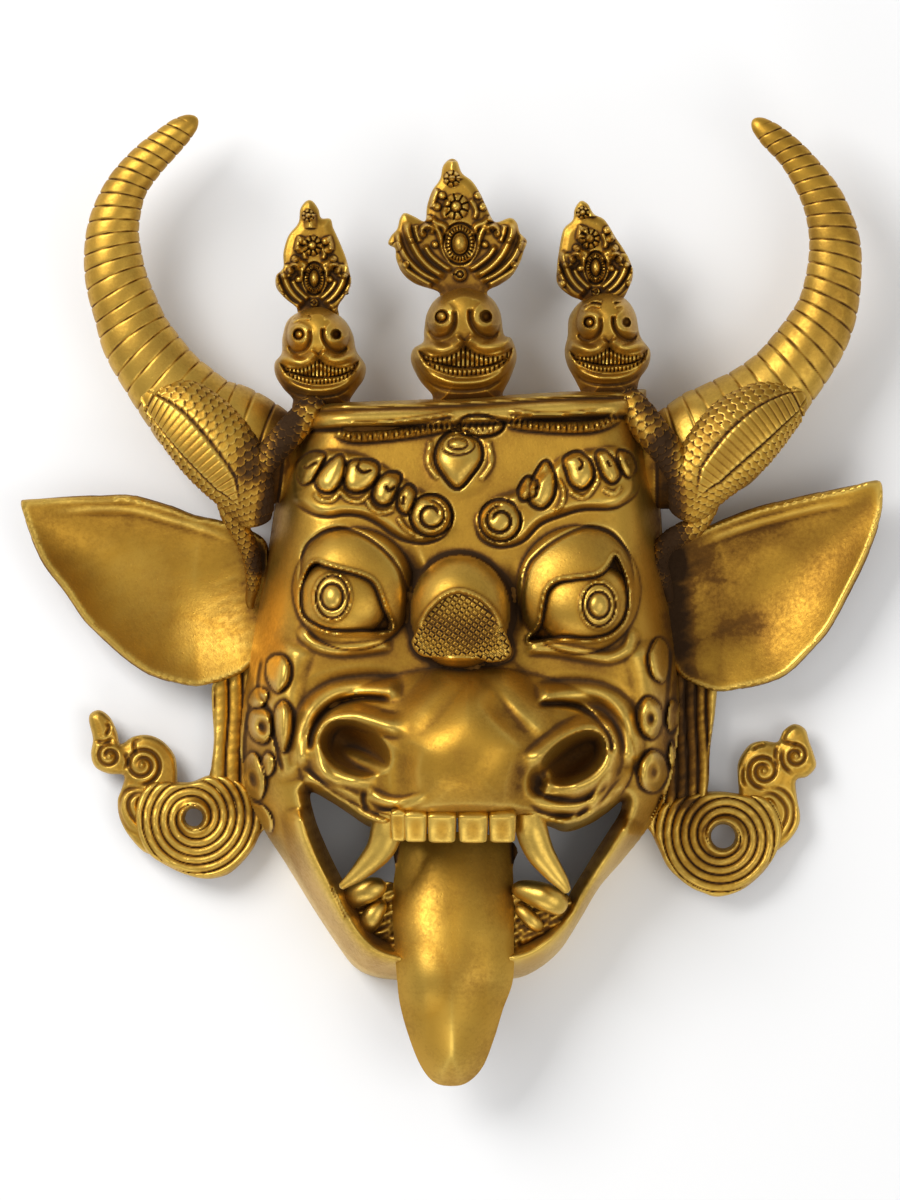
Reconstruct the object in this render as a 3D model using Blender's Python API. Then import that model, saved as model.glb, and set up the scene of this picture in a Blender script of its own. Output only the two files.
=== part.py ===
"""A cast brass wall mask: a horned, bull-faced guardian with a crown of three skulls, two snakes, open jaws and
a long tongue.

The mask lies on its back. X runs to its left ear as one looks at it, Y up its face to the horns, and Z out of
the face, with the edge that lies on the wall at z = 0. It is one hollow casting. The carving is laid out on a
drawing in squares, and the overall width, height and depth say how large its squares are. The origin of the
drawing is between the ears, level with the eyes."""
import math

import bmesh
import bpy
import numpy as np

WIDTH = 0.4984  # tip of one ear to the tip of the other
HEIGHT = 0.560  # tip of the tongue to the tips of the horns
DEPTH = 0.1295  # wall to the nose
WALL = 0.0034  # of the hollow face
EAR_WALL = 0.0032
PENDANT_WALL = 0.0040
CROWN_WALL = 0.0036
TONGUE_WALL = 0.0055
HORN_WALL = 0.0040
GUM_WALL = 0.0050
RIM_CUT = 0.0009  # ground off the rim so that it lies flat
LEFT_EYELET = 0.0102  # bores of the holes through the ear pendants
RIGHT_EYELET = 0.0138
CRUMB = 0.008  # splinters of a join that are smaller than this are cleaned off
TRIANGLES = 9840  # of the whole casting
FACES = {  # triangles each form is thinned to before it is joined
    "mask": 5200, "horn": 1000, "hood": 300, "neck": 110, "tail": 100, "ear": 200, "flange": 70, "coil": 300,
    "scroll": 240, "skull": 420, "leaf": 200, "tongue": 220, "fang": 100, "gum": 60}

ACROSS, UP, OUT = 870.4, 978, 226.16  # squares of the drawing that the width, the height and the depth take
GRID = np.array([WIDTH / ACROSS, HEIGHT / UP, DEPTH / OUT])
ROUND = HEIGHT / UP  # of a radius, so that bars stay round
def smooth_line(points, steps=8, closed=False):
    p = np.asarray(points, float)
    if closed:
        ring = np.vstack([p[-1:], p, p[:2]])
    else:
        ring = np.vstack([2 * p[:1] - p[1:2], p, 2 * p[-1:] - p[-2:-1]])
    t = (np.arange(steps) / steps)[:, None]
    spans = []
    for a, b, c, d in zip(ring[:-3], ring[1:-2], ring[2:-1], ring[3:]):
        bend = 2 * a - 5 * b + 4 * c - d
        spans.append(0.5 * (2 * b + (c - a) * t + bend * t**2 + (3 * b - a - 3 * c + d) * t**3))
    if not closed:
        spans.append(p[-1:])
    return np.vstack(spans)


def to_line(x, y, line):
    best = np.full(x.shape, 1e9)
    share = np.zeros(x.shape)
    lengths = np.hypot(*np.diff(line[:, :2], axis=0).T)
    total = lengths.sum()
    run = 0.0
    for (ax, ay), (bx, by), length in zip(line[:-1, :2], line[1:, :2], lengths):
        if length > 1e-9:
            t = np.clip(((x - ax) * (bx - ax) + (y - ay) * (by - ay)) / length**2, 0, 1)
            d = np.hypot(x - ax - t * (bx - ax), y - ay - t * (by - ay))
            closer = d < best
            best = np.where(closer, d, best)
            share = np.where(closer, (run + t * length) / total, share)
            run += length
    return best, share


def inside(x, y, loop):
    hit = np.zeros(x.shape, bool)
    for (ax, ay), (bx, by) in zip(loop, np.roll(loop, -1, axis=0)):
        if ay != by:
            hit ^= ((ay > y) != (by > y)) & (x < ax + (y - ay) * (bx - ax) / (by - ay))
    return hit


def depth_in(x, y, loop):
    d, _ = to_line(x, y, np.vstack([loop, loop[:1]]))
    return np.where(inside(x, y, loop), d, -d)


def ease(t):
    t = np.clip(t, 0, 1)
    return t * t * (3 - 2 * t)


def soft(r):
    return np.clip(1 - r * r, 0, 1) ** 2


def dome(r):
    return np.sqrt(np.clip(1 - r * r, 0, 1))


def bowl(r):
    return np.clip(1 - r * r, 0, 1) ** 1.3


def grow(a, b, blend):
    """The higher of two surfaces, with a soft valley where they meet."""
    return np.maximum(a, b) + np.clip(blend - np.abs(a - b), 0, None) ** 2 / (4 * blend)


class Clay:
    def __init__(self, x, y, z):
        self.x, self.y, self.z = x, y, z

    def near(self, points, margin):
        p = np.asarray(points, float)[:, :2]
        lo, hi = p.min(axis=0) - margin, p.max(axis=0) + margin
        return np.nonzero((self.x > lo[0]) & (self.x < hi[0]) & (self.y > lo[1]) & (self.y < hi[1]))[0]

    def ridge(self, points, width, height, thin=0.0, form=soft, beads=0, closed=False, taper=0.1):
        line = smooth_line(points, closed=closed)
        if closed:
            line = np.vstack([line, line[:1]])
        i = self.near(line, width)
        d, t = to_line(self.x[i], self.y[i], line)
        left = 1 - thin * t
        if taper and not closed:
            left = left * ease(t / taper) * ease((1 - t) / taper)
        if beads:
            left = left * (0.62 + 0.38 * np.cos(2 * math.pi * beads * t))
        self.z[i] += height * left * form(d / (width * (1 - thin * t)))

    def mound(self, at, rx, ry, height, turn=0.0, form=soft):
        reach = max(rx, ry)
        i = self.near([at], reach)
        c, s = math.cos(math.radians(turn)), math.sin(math.radians(turn))
        dx, dy = self.x[i] - at[0], self.y[i] - at[1]
        r = np.hypot((dx * c + dy * s) / rx, (dy * c - dx * s) / ry)
        self.z[i] += height * form(r)

    def swell(self, at, rx, ry, top, depth, turn=0.0, blend=8.0, power=2.0):
        """A rounded body that grows out of what is there, instead of being laid on top of it."""
        reach = 1.6 * max(rx, ry)
        i = self.near([at], reach)
        c, s = math.cos(math.radians(turn)), math.sin(math.radians(turn))
        dx, dy = self.x[i] - at[0], self.y[i] - at[1]
        r = np.hypot((dx * c + dy * s) / rx, (dy * c - dx * s) / ry)
        body = top - depth * (1 - np.clip(1 - r**power, 0, 1) ** (1 / power)) - 160 * np.clip(r - 1, 0, None)
        self.z[i] = grow(self.z[i], body, blend)

    def pad(self, outline, height, edge):
        loop = smooth_line(outline, closed=True)
        i = self.near(loop, 2)
        self.z[i] += height * ease(depth_in(self.x[i], self.y[i], loop) / edge)

    def coil(self, at, radius, turns, start, width, height, shrink=0.25, form=soft):
        n = max(8, int(14 * abs(turns)))
        t = np.linspace(0, 1, n)
        a = np.radians(start) + 2 * math.pi * turns * t
        r = radius * (1 - (1 - shrink) * t)
        self.ridge(np.column_stack([at[0] + r * np.cos(a), at[1] + r * np.sin(a)]), width, height, form=form)


# The rim that lies on the wall, from the left end of the crown band down round the jaw to its right end.
JAW_LINE = [
    (-149, 198), (-163, 159), (-176, 109), (-185, 54), (-195, -1), (-204, -51), (-211, -101), (-214, -151),
    (-207, -196), (-190, -233), (-168, -267), (-141, -311), (-116, -349), (-99, -371), (-80, -381), (-52, -385),
    (3, -387), (58, -384), (83, -376), (108, -356), (128, -326), (149, -291), (173, -263), (197, -232),
    (216, -198), (226, -156), (230, -111), (227, -61), (220, -11), (214, 39), (211, 89), (205, 134),
    (198, 174), (196, 212)]
BAND_TOP = [(108, 209), (8, 203), (-72, 200)]
FACE_MIDDLE = (8, -91)
# Height of the face along its middle line, as (row, height).
SPINE = [(-420, 84), (-386, 92), (-340, 108), (-280, 122), (-200, 140), (-100, 150), (0, 148), (80, 142),
         (130, 136), (180, 126), (200, 118)]
EDGE_ROUND = [(-400, 50), (-300, 60), (-200, 72), (-80, 78), (40, 74), (120, 62), (200, 52)]
MOUTH = [
    (-141, -194), (-122, -202), (-102, -215), (-84, -227), (-66, -231), (-42, -222), (3, -218), (53, -219),
    (93, -226), (114, -233), (138, -225), (155, -214), (169, -203), (168, -214), (157, -232), (145, -251),
    (133, -271), (122, -289), (108, -313), (86, -333), (63, -345), (3, -351), (-54, -345), (-78, -331),
    (-93, -310), (-105, -290), (-117, -267), (-128, -243), (-137, -219)]
NOSE = [
    (22, -47), (-2, -63), (-24, -85), (-50, -105), (-76, -121), (-78, -143), (-68, -171), (-60, -201),
    (-56, -233), (68, -233), (78, -201), (91, -171), (110, -145), (91, -113), (66, -85), (46, -63)]
LIP_BAND, LIP_ROLL = 15, 34  # width and fall of the edge that rolls back into the mouth


def spine(y):
    rows, tops = np.array(SPINE).T
    line = smooth_line(np.array(SPINE))
    return np.interp(y, line[:, 0], line[:, 1])


def base(x, y):
    """The plain face before it is carved: how high it stands off the wall."""
    side, _ = to_line(x, y, smooth_line(JAW_LINE))
    top, _ = to_line(x, y, smooth_line([JAW_LINE[-1]] + BAND_TOP + [JAW_LINE[0]]))
    reach = np.interp(y, *np.array(EDGE_ROUND).T)
    flank = (1 - (1 - np.clip(side / reach, 0, 1)) ** 2.4) ** 0.5
    return spine(y) * flank * (1 - (1 - np.clip(top / 10, 0, 1)) ** 2.4) ** 0.5


def brows(c):
    c.pad([(-160, 129), (-156, 101), (-134, 84), (-107, 85), (-80, 77), (-52, 63), (-24, 57), (-4, 65),
           (2, 84), (-12, 101), (-37, 113), (-67, 131), (-102, 147), (-134, 149)], 9, 12)
    c.pad([(22, 81), (28, 59), (48, 53), (73, 59), (98, 77), (128, 88), (160, 90), (182, 101),
           (189, 124), (178, 149), (148, 151), (113, 147), (88, 129), (63, 109), (38, 99)], 9, 12)
    for line in ([(-162, 111), (-152, 92), (-134, 82), (-107, 84), (-80, 76), (-52, 62), (-26, 56),
                  (-4, 63)],
                 [(28, 58), (48, 52), (74, 58), (98, 76), (128, 87), (160, 89), (184, 100),
                  (191, 121)]):
        c.ridge(line, 4, -3)
    drops = [  # at, half widths, turn
        ((-143, 129), 8, 15, -38), ((-123, 121), 9, 16, -30), ((-95, 120), 11, 14, -40), ((-67, 107), 9, 13, -25),
        ((89, 107), 11, 15, 40), ((128, 129), 12, 16, 12), ((160, 132), 9, 16, 25), ((178, 137), 6, 13, 30)]
    for at, rx, ry, turn in drops:
        c.mound(at, rx + 5, ry + 5, 5, turn)
        c.mound(at, rx, ry, 6, turn, dome)
    hooks = [
        [(-153, 141), (-156, 124), (-149, 113), (-139, 119), (-130, 137)],
        [(-135, 132), (-139, 117), (-129, 105), (-117, 110), (-109, 129)],
        [(-106, 137), (-111, 121), (-101, 108), (-85, 110), (-74, 131), (-82, 140)],
        [(-78, 119), (-81, 106), (-70, 95), (-57, 99), (-48, 119), (-60, 127)],
        [(75, 121), (93, 120), (101, 106), (93, 91), (78, 93), (72, 103)],
        [(114, 144), (111, 125), (122, 110), (138, 115), (144, 135), (136, 149)],
        [(146, 144), (149, 124), (160, 112), (169, 124), (166, 144)],
        [(170, 149), (176, 129), (184, 125), (182, 144)]]
    for line in hooks:
        c.ridge(line, 3.2, -5)
    rims = [
        [(-117, 102), (-100, 99), (-80, 107)], [(-86, 99), (-70, 86), (-52, 93), (-44, 111)],
        [(-112, 109), (-104, 100), (-90, 99)],
        [(68, 119), (61, 104), (72, 87)], [(104, 129), (110, 107), (98, 87)],
        [(108, 139), (118, 102), (138, 102), (148, 121)], [(150, 111), (162, 103), (176, 115)]]
    for line in rims:
        c.ridge(line, 3.5, 4)
    for at, start, way in (((-23, 82), 150, -1), ((45, 79), 30, 1)):
        c.mound(at, 27, 27, 8)
        c.mound(at, 22, 22, 6, form=dome)
        c.coil(at, 21, way * 1.0, start, 3.2, -6, shrink=0.95)
        c.coil(at, 20, way * 1.6, start, 3.2, -4.5, shrink=0.3)


def eye(c, lid, lid_at, lid_size, opening, ball_at, ball_size, iris_at, crease, lower):
    c.mound(lid_at, lid_size[0], lid_size[1], 24, lid, dome)
    c.ridge(crease, 6, -7)
    loop = smooth_line(opening, closed=True)
    i = c.near(loop, 6)
    d = depth_in(c.x[i], c.y[i], loop)
    r = np.hypot((c.x[i] - ball_at[0]) / ball_size[0], (c.y[i] - ball_at[1]) / ball_size[1])
    c.z[i] += ease(d / 3) * (19 * dome(r) - 19)
    c.ridge(opening, 4.5, 3.5, closed=True)
    c.ridge(lower, 9, 7)
    for radius, depth in ((1.0, -2.2), (0.52, -2.2)):
        a = np.linspace(0, 2 * math.pi, 17)[:-1]
        ring = np.column_stack([iris_at[0] + 18 * radius * np.cos(a), iris_at[1] + 22 * radius * np.sin(a)])
        c.ridge(ring, 2.2, depth, closed=True)
    c.mound(iris_at, 18, 22, 3)
    c.mound(iris_at, 8, 10, 2.5)


def eyes(c):
    eye(c, 0, (-98, 7), (59, 66),
        [(-139, 40), (-122, 35), (-106, 28), (-88, 23), (-74, 11), (-66, -9), (-58, -32), (-82, -34),
         (-107, -35), (-130, -29), (-147, -16), (-152, -1), (-149, 19)],
        (-116, -4), (50, 40), (-123, 1),
        [(-156, -33), (-154, -1), (-146, 37), (-126, 62), (-100, 70), (-72, 61), (-50, 37), (-39, 7),
         (-42, -23)],
        [(-154, -23), (-140, -41), (-110, -48), (-77, -43), (-56, -37)])
    c.ridge([(-52, 43), (-39, 14), (-41, -23)], 12, -15)
    eye(c, 0, (126, 7), (60, 68),
        [(158, 47), (145, 32), (124, 24), (106, 19), (95, 9), (91, -9), (85, -26), (72, -44),
         (100, -42), (130, -44), (156, -36), (172, -21), (177, 2), (170, 26)],
        (138, -7), (50, 42), (146, -7),
        [(68, -37), (67, -9), (72, 19), (86, 43), (108, 61), (133, 71), (160, 65), (180, 43),
         (188, 4)],
        [(74, -50), (104, -51), (138, -58), (168, -49), (184, -23), (188, -1)])
    c.ridge([(56, 24), (59, -6), (64, -31)], 12, -13)


def third_eye(c):
    c.mound((6, 136), 34, 36, 6)
    c.pad([(4, 165), (-11, 153), (-16, 136), (-7, 120), (6, 109), (19, 122), (28, 137), (25, 153),
           (14, 163)], 6, 7)
    c.ridge([(-11, 153), (-16, 136), (-7, 120), (6, 109), (19, 122), (28, 137), (25, 153)], 3, -4)
    c.ridge([(-19, 155), (-23, 136), (-12, 117)], 4, 3)
    c.ridge([(34, 155), (37, 136), (26, 117)], 4, 3)
    middle = (4, 153)
    for rx, ry in ((16, 10), (9, 5.5)):
        a = np.linspace(0, 2 * math.pi, 13)[:-1]
        c.ridge(np.column_stack([middle[0] + rx * np.cos(a), middle[1] + ry * np.sin(a)]), 2, -2, closed=True)
    c.mound(middle, 8, 5, 2)
    c.mound((24, 173), 28, 10, 8, -3)
    for k in range(9):
        c.ridge([(6 * k, 179), (6 * k - 3, 172), (5 * k + 3, 165)], 1.8, -2)


def band(c):
    """The crown band: a lip, a round roll and a twisted cord hung in two swags."""
    top = smooth_line([(188, 212)] + BAND_TOP + [(-142, 198)])
    i = c.near(top, 40)
    d, _ = to_line(c.x[i], c.y[i], top)
    c.z[i] += 12 * ease((32 - d) / 8)
    c.z[i] += 4 * soft((d - 4) / 5) - 5 * soft((d - 10) / 4) + 5 * soft((d - 18) / 9) - 5 * soft((d - 29) / 4)
    c.ridge([(-118, 169), (-100, 162), (-72, 163), (-32, 168), (8, 176)], 5, 8, beads=22, form=dome)
    c.ridge([(40, 181), (73, 175), (118, 171), (148, 174), (170, 185)], 5, 8, beads=22, form=dome)


def knob(c):
    """The ball between the eyes, with its flat lower front."""
    c.swell((8, -11), 54, 58, 206, 58, blend=7, power=2.3)
    i = c.near([(7, -33)], 50)
    x, y = c.x[i] - (7, -33)[0], c.y[i] - (7, -33)[1]
    face = depth_in(c.x[i], c.y[i], smooth_line(
        [(-40, -56), (-36, -35), (-20, -7), (-5, 3), (9, 7), (24, 3), (40, -12), (54, -39),
         (57, -58), (33, -65), (6, -67), (-22, -63)], closed=True))
    plate = 192 + 0.24 * y - 0.004 * x * x - 0.006 * np.clip(-y - 12, 0, 99) ** 2
    c.z[i] += ease(face / 7) * (np.maximum(plate, 158) - c.z[i])
    c.ridge([(-40, -53), (-35, -33), (-19, -7), (-5, 2), (9, 6), (24, 2), (39, -12), (54, -41)],
            4, 3)


def muzzle(c):
    c.swell((14, -158), 168, 92, 184, 72, blend=24, power=2.6)
    c.mound((-100, -91), 62, 26, -12, 8)
    c.mound((132, -99), 58, 26, -12, -10)
    c.mound((14, -143), 110, 92, 12)
    c.pad(NOSE, 32, 36)
    c.ridge([(-40, -124), (-61, -125), (-80, -120), (-100, -115), (-119, -119), (-131, -134), (-133, -153), (-125, -169),
             (-108, -179), (-88, -182), (-70, -177)], 14, 16, taper=0.15)
    c.mound((-97, -148), 40, 25, -38, -27, bowl)
    c.mound((-86, -161), 28, 10, 11, -25)
    c.ridge([(64, -169), (80, -162), (98, -148), (116, -135), (134, -128), (150, -132), (157, -147), (154, -165),
             (140, -180), (118, -188), (96, -186)], 15, 18, taper=0.15)
    c.mound((121, -158), 38, 24, -34, 32, bowl)
    c.mound((85, -181), 13, 20, -15, -10)
    c.ridge([(-48, -90), (-89, -89), (-120, -95), (-141, -113), (-149, -141), (-148, -171)], 14, 14)
    c.ridge([(-60, -100), (-80, -98), (-96, -99), (-115, -105), (-130, -117), (-139, -134), (-141, -153)], 5, -9)
    c.ridge([(82, -97), (116, -93), (149, -97), (170, -113), (179, -139), (177, -169)], 14, 14)
    c.ridge([(83, -105), (107, -104), (126, -108), (142, -119), (156, -137), (159, -157)], 5, -9)
    for line in ([(-148, -169), (-130, -191), (-100, -209), (-67, -223), (-32, -223)],
                 [(-138, -157), (-117, -186), (-86, -204)], [(-90, -185), (-72, -201), (-47, -203), (-22, -195)],
                 [(170, -185), (150, -204), (118, -219), (78, -221)],
                 [(152, -191), (138, -203), (108, -207), (76, -201)]):
        c.ridge(line, 9, 7)
    for line in ([(-142, -175), (-120, -197), (-90, -214), (-67, -220)], [(-122, -180), (-102, -197), (-80, -207)],
                 [(-84, -195), (-68, -207), (-40, -204)], [(73, -205), (96, -214), (124, -213)],
                 [(140, -198), (126, -219)], [(158, -193), (144, -213)]):
        c.ridge(line, 4, -6)


def cheeks(c):
    c.ridge([(-155, -41), (-172, -91), (-176, -141), (-162, -191)], 26, 10)
    c.ridge([(188, -41), (202, -91), (204, -141), (192, -191)], 26, 10)
    drops = [
        ((-178, -68), 13, 18, -15), ((-190, -117), 14, 17, 15), ((-168, -127), 10, 24, 5), ((-190, -163), 13, 17, 30),
        ((-172, -173), 8, 20, 15), ((-196, -201), 11, 15, 30), ((-200, -91), 9, 12, 30),
        ((207, -56), 12, 24, 10), ((198, -117), 13, 23, -18), ((202, -173), 18, 27, -30),
        ((224, -117), 11, 17, 8), ((216, -201), 10, 14, -20)]
    for at, rx, ry, turn in drops:
        c.mound(at, rx + 4, ry + 4, 6, turn)
        c.mound(at, rx, ry, 8, turn, dome)
        c.mound(at, rx * 0.55, ry * 0.6, -7, turn)


def lips(c):
    c.ridge([(-153, -207), (-145, -247), (-129, -283), (-110, -317), (-86, -349), (-52, -363), (3, -367), (56, -363),
             (93, -351), (120, -327), (138, -297), (158, -261), (184, -221)], 20, 20, taper=0.03)
    c.ridge([(-134, -187), (-110, -202), (-86, -219), (-60, -223), (-36, -219)], 9, 8, taper=0.2)
    c.ridge([(56, -218), (93, -220), (123, -226), (152, -209), (174, -187)], 9, 8, taper=0.2)


def mouth_edge(c):
    """The lips roll back into the mouth."""
    d, _ = to_line(c.x, c.y, smooth_line(MOUTH + MOUTH[:1]))
    c.z -= LIP_ROLL * (1 - np.clip(d / LIP_BAND, 0, 1)) ** 1.7


def carve_face(c):
    for step in (brows, eyes, third_eye, band, muzzle, cheeks, lips, knob, mouth_edge):
        step(c)


def averaged(points, edges, rounds, fixed=None):
    """Each point moved to the mean of its neighbours, a number of times."""
    a, b = edges.T
    n = len(points)
    count = np.bincount(a, minlength=n) + np.bincount(b, minlength=n)
    for _ in range(rounds):
        total = np.column_stack([
            np.bincount(a, points[b, k], n) + np.bincount(b, points[a, k], n) for k in range(points.shape[1])])
        mean = 0.5 * points + 0.5 * total / np.maximum(count, 1)[:, None]
        if fixed is not None:
            mean[fixed] = points[fixed]
        points = mean
    return points


def places(bm):
    return np.array([v.co for v in bm.verts])


def pull_to(bm, loop, reach):
    """Moves the free edge of a sheet onto an outline."""
    edge = [v for v in bm.verts if v.is_boundary]
    ring = np.vstack([loop, loop[:1]])
    for v in edge:
        start, step = ring[:-1], np.diff(ring, axis=0)
        t = np.clip(((v.co.x - start[:, 0]) * step[:, 0] + (v.co.y - start[:, 1]) * step[:, 1])
                    / np.maximum((step**2).sum(axis=1), 1e-9), 0, 1)
        spots = start + t[:, None] * step
        d = np.hypot(spots[:, 0] - v.co.x, spots[:, 1] - v.co.y)
        if d.min() < reach:
            v.co.x, v.co.y = spots[d.argmin()]


def drop(bm, picked):
    bmesh.ops.delete(bm, geom=picked, context="FACES")


def drop_loose_corners(bm):
    for _ in range(6):
        weak = {f for v in bm.verts if sum(e.is_boundary for e in v.link_edges) > 2 for f in v.link_faces}
        weak |= {f for f in bm.faces if sum(e.is_boundary for e in f.edges) > 2}
        if not weak:
            return
        drop(bm, list(weak))


def disc_sheet(loop, middle, cells, crowd=1.5):
    """A grid spread over an outline from its middle, with finer rows towards the edge."""
    bm = bmesh.new()
    bmesh.ops.create_grid(bm, x_segments=cells, y_segments=cells, size=1)
    away = loop - middle
    turn, reach = np.arctan2(away[:, 1], away[:, 0]), np.hypot(*away.T)
    order = np.argsort(turn)
    for v in bm.verts:
        x, y = v.co.x * math.sqrt(1 - v.co.y**2 / 2), v.co.y * math.sqrt(1 - v.co.x**2 / 2)
        share = 1 - (1 - min(1.0, math.hypot(x, y))) ** crowd
        a = math.atan2(y, x)
        r = share * np.interp(a, turn[order], reach[order], period=2 * math.pi)
        v.co = (middle[0] + r * math.cos(a), middle[1] + r * math.sin(a), 0)
    return bm


def cut_sheet(loop, cell):
    """A grid of square cells trimmed to an outline."""
    lo, hi = loop.min(axis=0), loop.max(axis=0)
    nx, ny = (np.ceil((hi - lo) / cell) + 1).astype(int)
    bm = bmesh.new()
    bmesh.ops.create_grid(bm, x_segments=int(nx), y_segments=int(ny), size=1)
    mid = (lo + hi) / 2
    for v in bm.verts:
        v.co = (mid[0] + v.co.x * nx * cell / 2, mid[1] + v.co.y * ny * cell / 2, 0)
    middles = np.array([f.calc_center_median() for f in bm.faces])
    keep = inside(middles[:, 0], middles[:, 1], loop)
    drop(bm, [f for f, k in zip(bm.faces, keep) if not k])
    drop_loose_corners(bm)
    pull_to(bm, loop, 3 * cell)
    return bm


def shell(name, bm, carve, wall, rounds=3, rests=False):
    """Raises a flat sheet to its carved height and backs it with a second skin, a wall's thickness behind."""
    flat = places(bm)
    clay = Clay(flat[:, 0], flat[:, 1], np.zeros(len(flat)))
    carve(clay)
    outer = np.column_stack([flat[:, 0], flat[:, 1], clay.z]) * GRID
    lowest = GRID[2]
    edges = np.array([[v.index for v in e.verts] for e in bm.edges])
    free = np.array([v.is_boundary for v in bm.verts])
    eased = averaged(outer, edges, rounds, free)
    spare = np.clip(eased[:, 2] - outer[:, 2], 0, None)
    for _ in range(2):
        for a, b in (edges.T, edges.T[::-1]):
            np.maximum.at(spare, a, spare[b] * 0.8)
    for v, co in zip(bm.verts, eased):
        v.co = co
    bm.normal_update()
    facing = np.array([v.normal for v in bm.verts])
    facing *= np.sign(facing[:, 2:] + 1e-9)
    inner = eased - facing * (wall + spare)[:, None]
    if rests:
        rim = free & (outer[:, 2] < lowest)
        flat_way = facing[:, :2] / np.maximum(np.hypot(facing[:, 0], facing[:, 1]), 1e-6)[:, None]
        outer[rim, 2] = 0
        inner[rim] = np.column_stack([outer[rim, :2] - flat_way[rim] * wall, np.zeros(rim.sum())])
        inner[~rim, 2] = np.maximum(inner[~rim, 2], lowest / 2)
    row = bm.verts.layers.int.new("row")
    for i, v in enumerate(bm.verts):
        v[row] = i
    made = bmesh.ops.extrude_face_region(bm, geom=bm.faces[:] + bm.edges[:], use_keep_orig=True)["geom"]
    fresh = {g for g in made if isinstance(g, bmesh.types.BMVert)}
    for v in bm.verts:
        v.co = outer[v[row]] if v in fresh else inner[v[row]]
    bmesh.ops.recalc_face_normals(bm, faces=bm.faces)
    return finish(name, bm)


def rod(name, path, around, along, flat=1.0, relief=None):
    """A round bar along points of x, y, z and radius; flat is its depth as a share of its width."""
    line = smooth_line(path, steps=12) * [*GRID, ROUND]
    run = np.concatenate([[0], np.cumsum(np.linalg.norm(np.diff(line[:, :3], axis=0), axis=1))])
    bm = bmesh.new()
    bmesh.ops.create_cone(bm, segments=around, radius1=1, radius2=1, depth=2, cap_ends=True)
    sides = [e for e in bm.edges if abs(e.verts[0].co.z - e.verts[1].co.z) > 1]
    bmesh.ops.subdivide_edges(bm, edges=sides, cuts=along - 1, use_grid_fill=True)
    start = places(bm)
    share = (start[:, 2] + 1) / 2
    angle = np.arctan2(start[:, 1], start[:, 0])
    at = np.column_stack([np.interp(share * run[-1], run, line[:, k]) for k in range(4)])
    step = ROUND / 2
    ahead = np.column_stack([np.interp(share * run[-1] + step, run, line[:, k]) for k in range(3)])
    behind = np.column_stack([np.interp(share * run[-1] - step, run, line[:, k]) for k in range(3)])
    way = ahead - behind
    way /= np.linalg.norm(way, axis=1, keepdims=True)
    side = np.cross(way, (0, 0, 1))
    side /= np.linalg.norm(side, axis=1, keepdims=True)
    up = np.cross(side, way)
    radius = at[:, 3] + (ROUND * relief(share, angle) if relief else 0)
    spots = at[:, :3] + side * (radius * np.cos(angle))[:, None] + up * (flat * radius * np.sin(angle))[:, None]
    for v, co in zip(bm.verts, spots):
        v.co = co
    bmesh.ops.recalc_face_normals(bm, faces=bm.faces)
    return finish(name, bm)


def clear_crumbs(mesh, size):
    """Takes off the splinters that a join leaves where two skins graze each other."""
    bm = bmesh.new()
    bm.from_mesh(mesh)
    left, crumbs = set(bm.faces), []
    while left:
        island, todo = [], [left.pop()]
        while todo:
            face = todo.pop()
            island.append(face)
            for beside in {f for e in face.edges if len(e.link_faces) == 2 for f in e.link_faces} & left:
                left.remove(beside)
                todo.append(beside)
        spots = np.array([v.co for f in island for v in f.verts])
        if np.ptp(spots, axis=0).max() < size:
            crumbs += island
    drop(bm, crumbs)
    bmesh.ops.triangulate(bm, faces=bm.faces)
    bm.to_mesh(mesh)
    bm.free()


def finish(name, bm):
    bmesh.ops.triangulate(bm, faces=bm.faces)
    if bm.calc_volume(signed=True) < 0:
        bmesh.ops.reverse_faces(bm, faces=bm.faces)
    mesh = bpy.data.meshes.new(name)
    bm.to_mesh(mesh)
    bm.free()
    return bpy.data.objects.new(name, mesh)


EAR_L = [
    (-433, 97), (-427, 100), (-392, 101), (-352, 102), (-327, 103), (-307, 99), (-282, 92), (-257, 83),
    (-238, 80), (-212, 73), (-188, 59), (-184, 34), (-184, -1), (-186, -41), (-200, -65), (-217, -77),
    (-247, -86), (-262, -87), (-287, -81), (-307, -73), (-327, -59), (-347, -41), (-367, -21), (-387, 9),
    (-407, 34), (-420, 59), (-430, 84)]
EAR_R = [
    (431, 117), (418, 118), (398, 112), (368, 105), (338, 98), (308, 91), (278, 81), (260, 74),
    (238, 65), (212, 54), (203, 29), (205, -1), (210, -31), (216, -56), (228, -75), (243, -85),
    (268, -93), (293, -89), (318, -83), (338, -73), (358, -53), (378, -29), (398, 9), (413, 39),
    (425, 69), (432, 94)]
FLANGE_L = [(-196, -56), (-226, -73), (-240, -83), (-242, -101), (-240, -141), (-243, -171), (-247, -201), (-212, -216),
            (-190, -216), (-196, -161), (-196, -111)]
FLANGE_R = [(212, -56), (238, -75), (264, -85), (266, -106), (260, -151), (258, -191), (248, -216), (220, -216),
            (208, -191), (212, -141), (212, -101)]
COIL_L = [
    (-170, -227), (-190, -233), (-200, -251), (-212, -266), (-227, -278), (-247, -282), (-267, -278), (-287, -269),
    (-305, -257), (-316, -239), (-320, -213), (-312, -191), (-297, -183), (-278, -184), (-262, -184), (-243, -177),
    (-222, -179), (-202, -191), (-184, -206)]
COIL_R = [
    (188, -229), (198, -232), (208, -251), (218, -271), (238, -289), (253, -296), (268, -300), (290, -294),
    (310, -279), (325, -259), (334, -233), (328, -209), (313, -198), (289, -196), (273, -194), (257, -194),
    (236, -197), (210, -207)]
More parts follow.
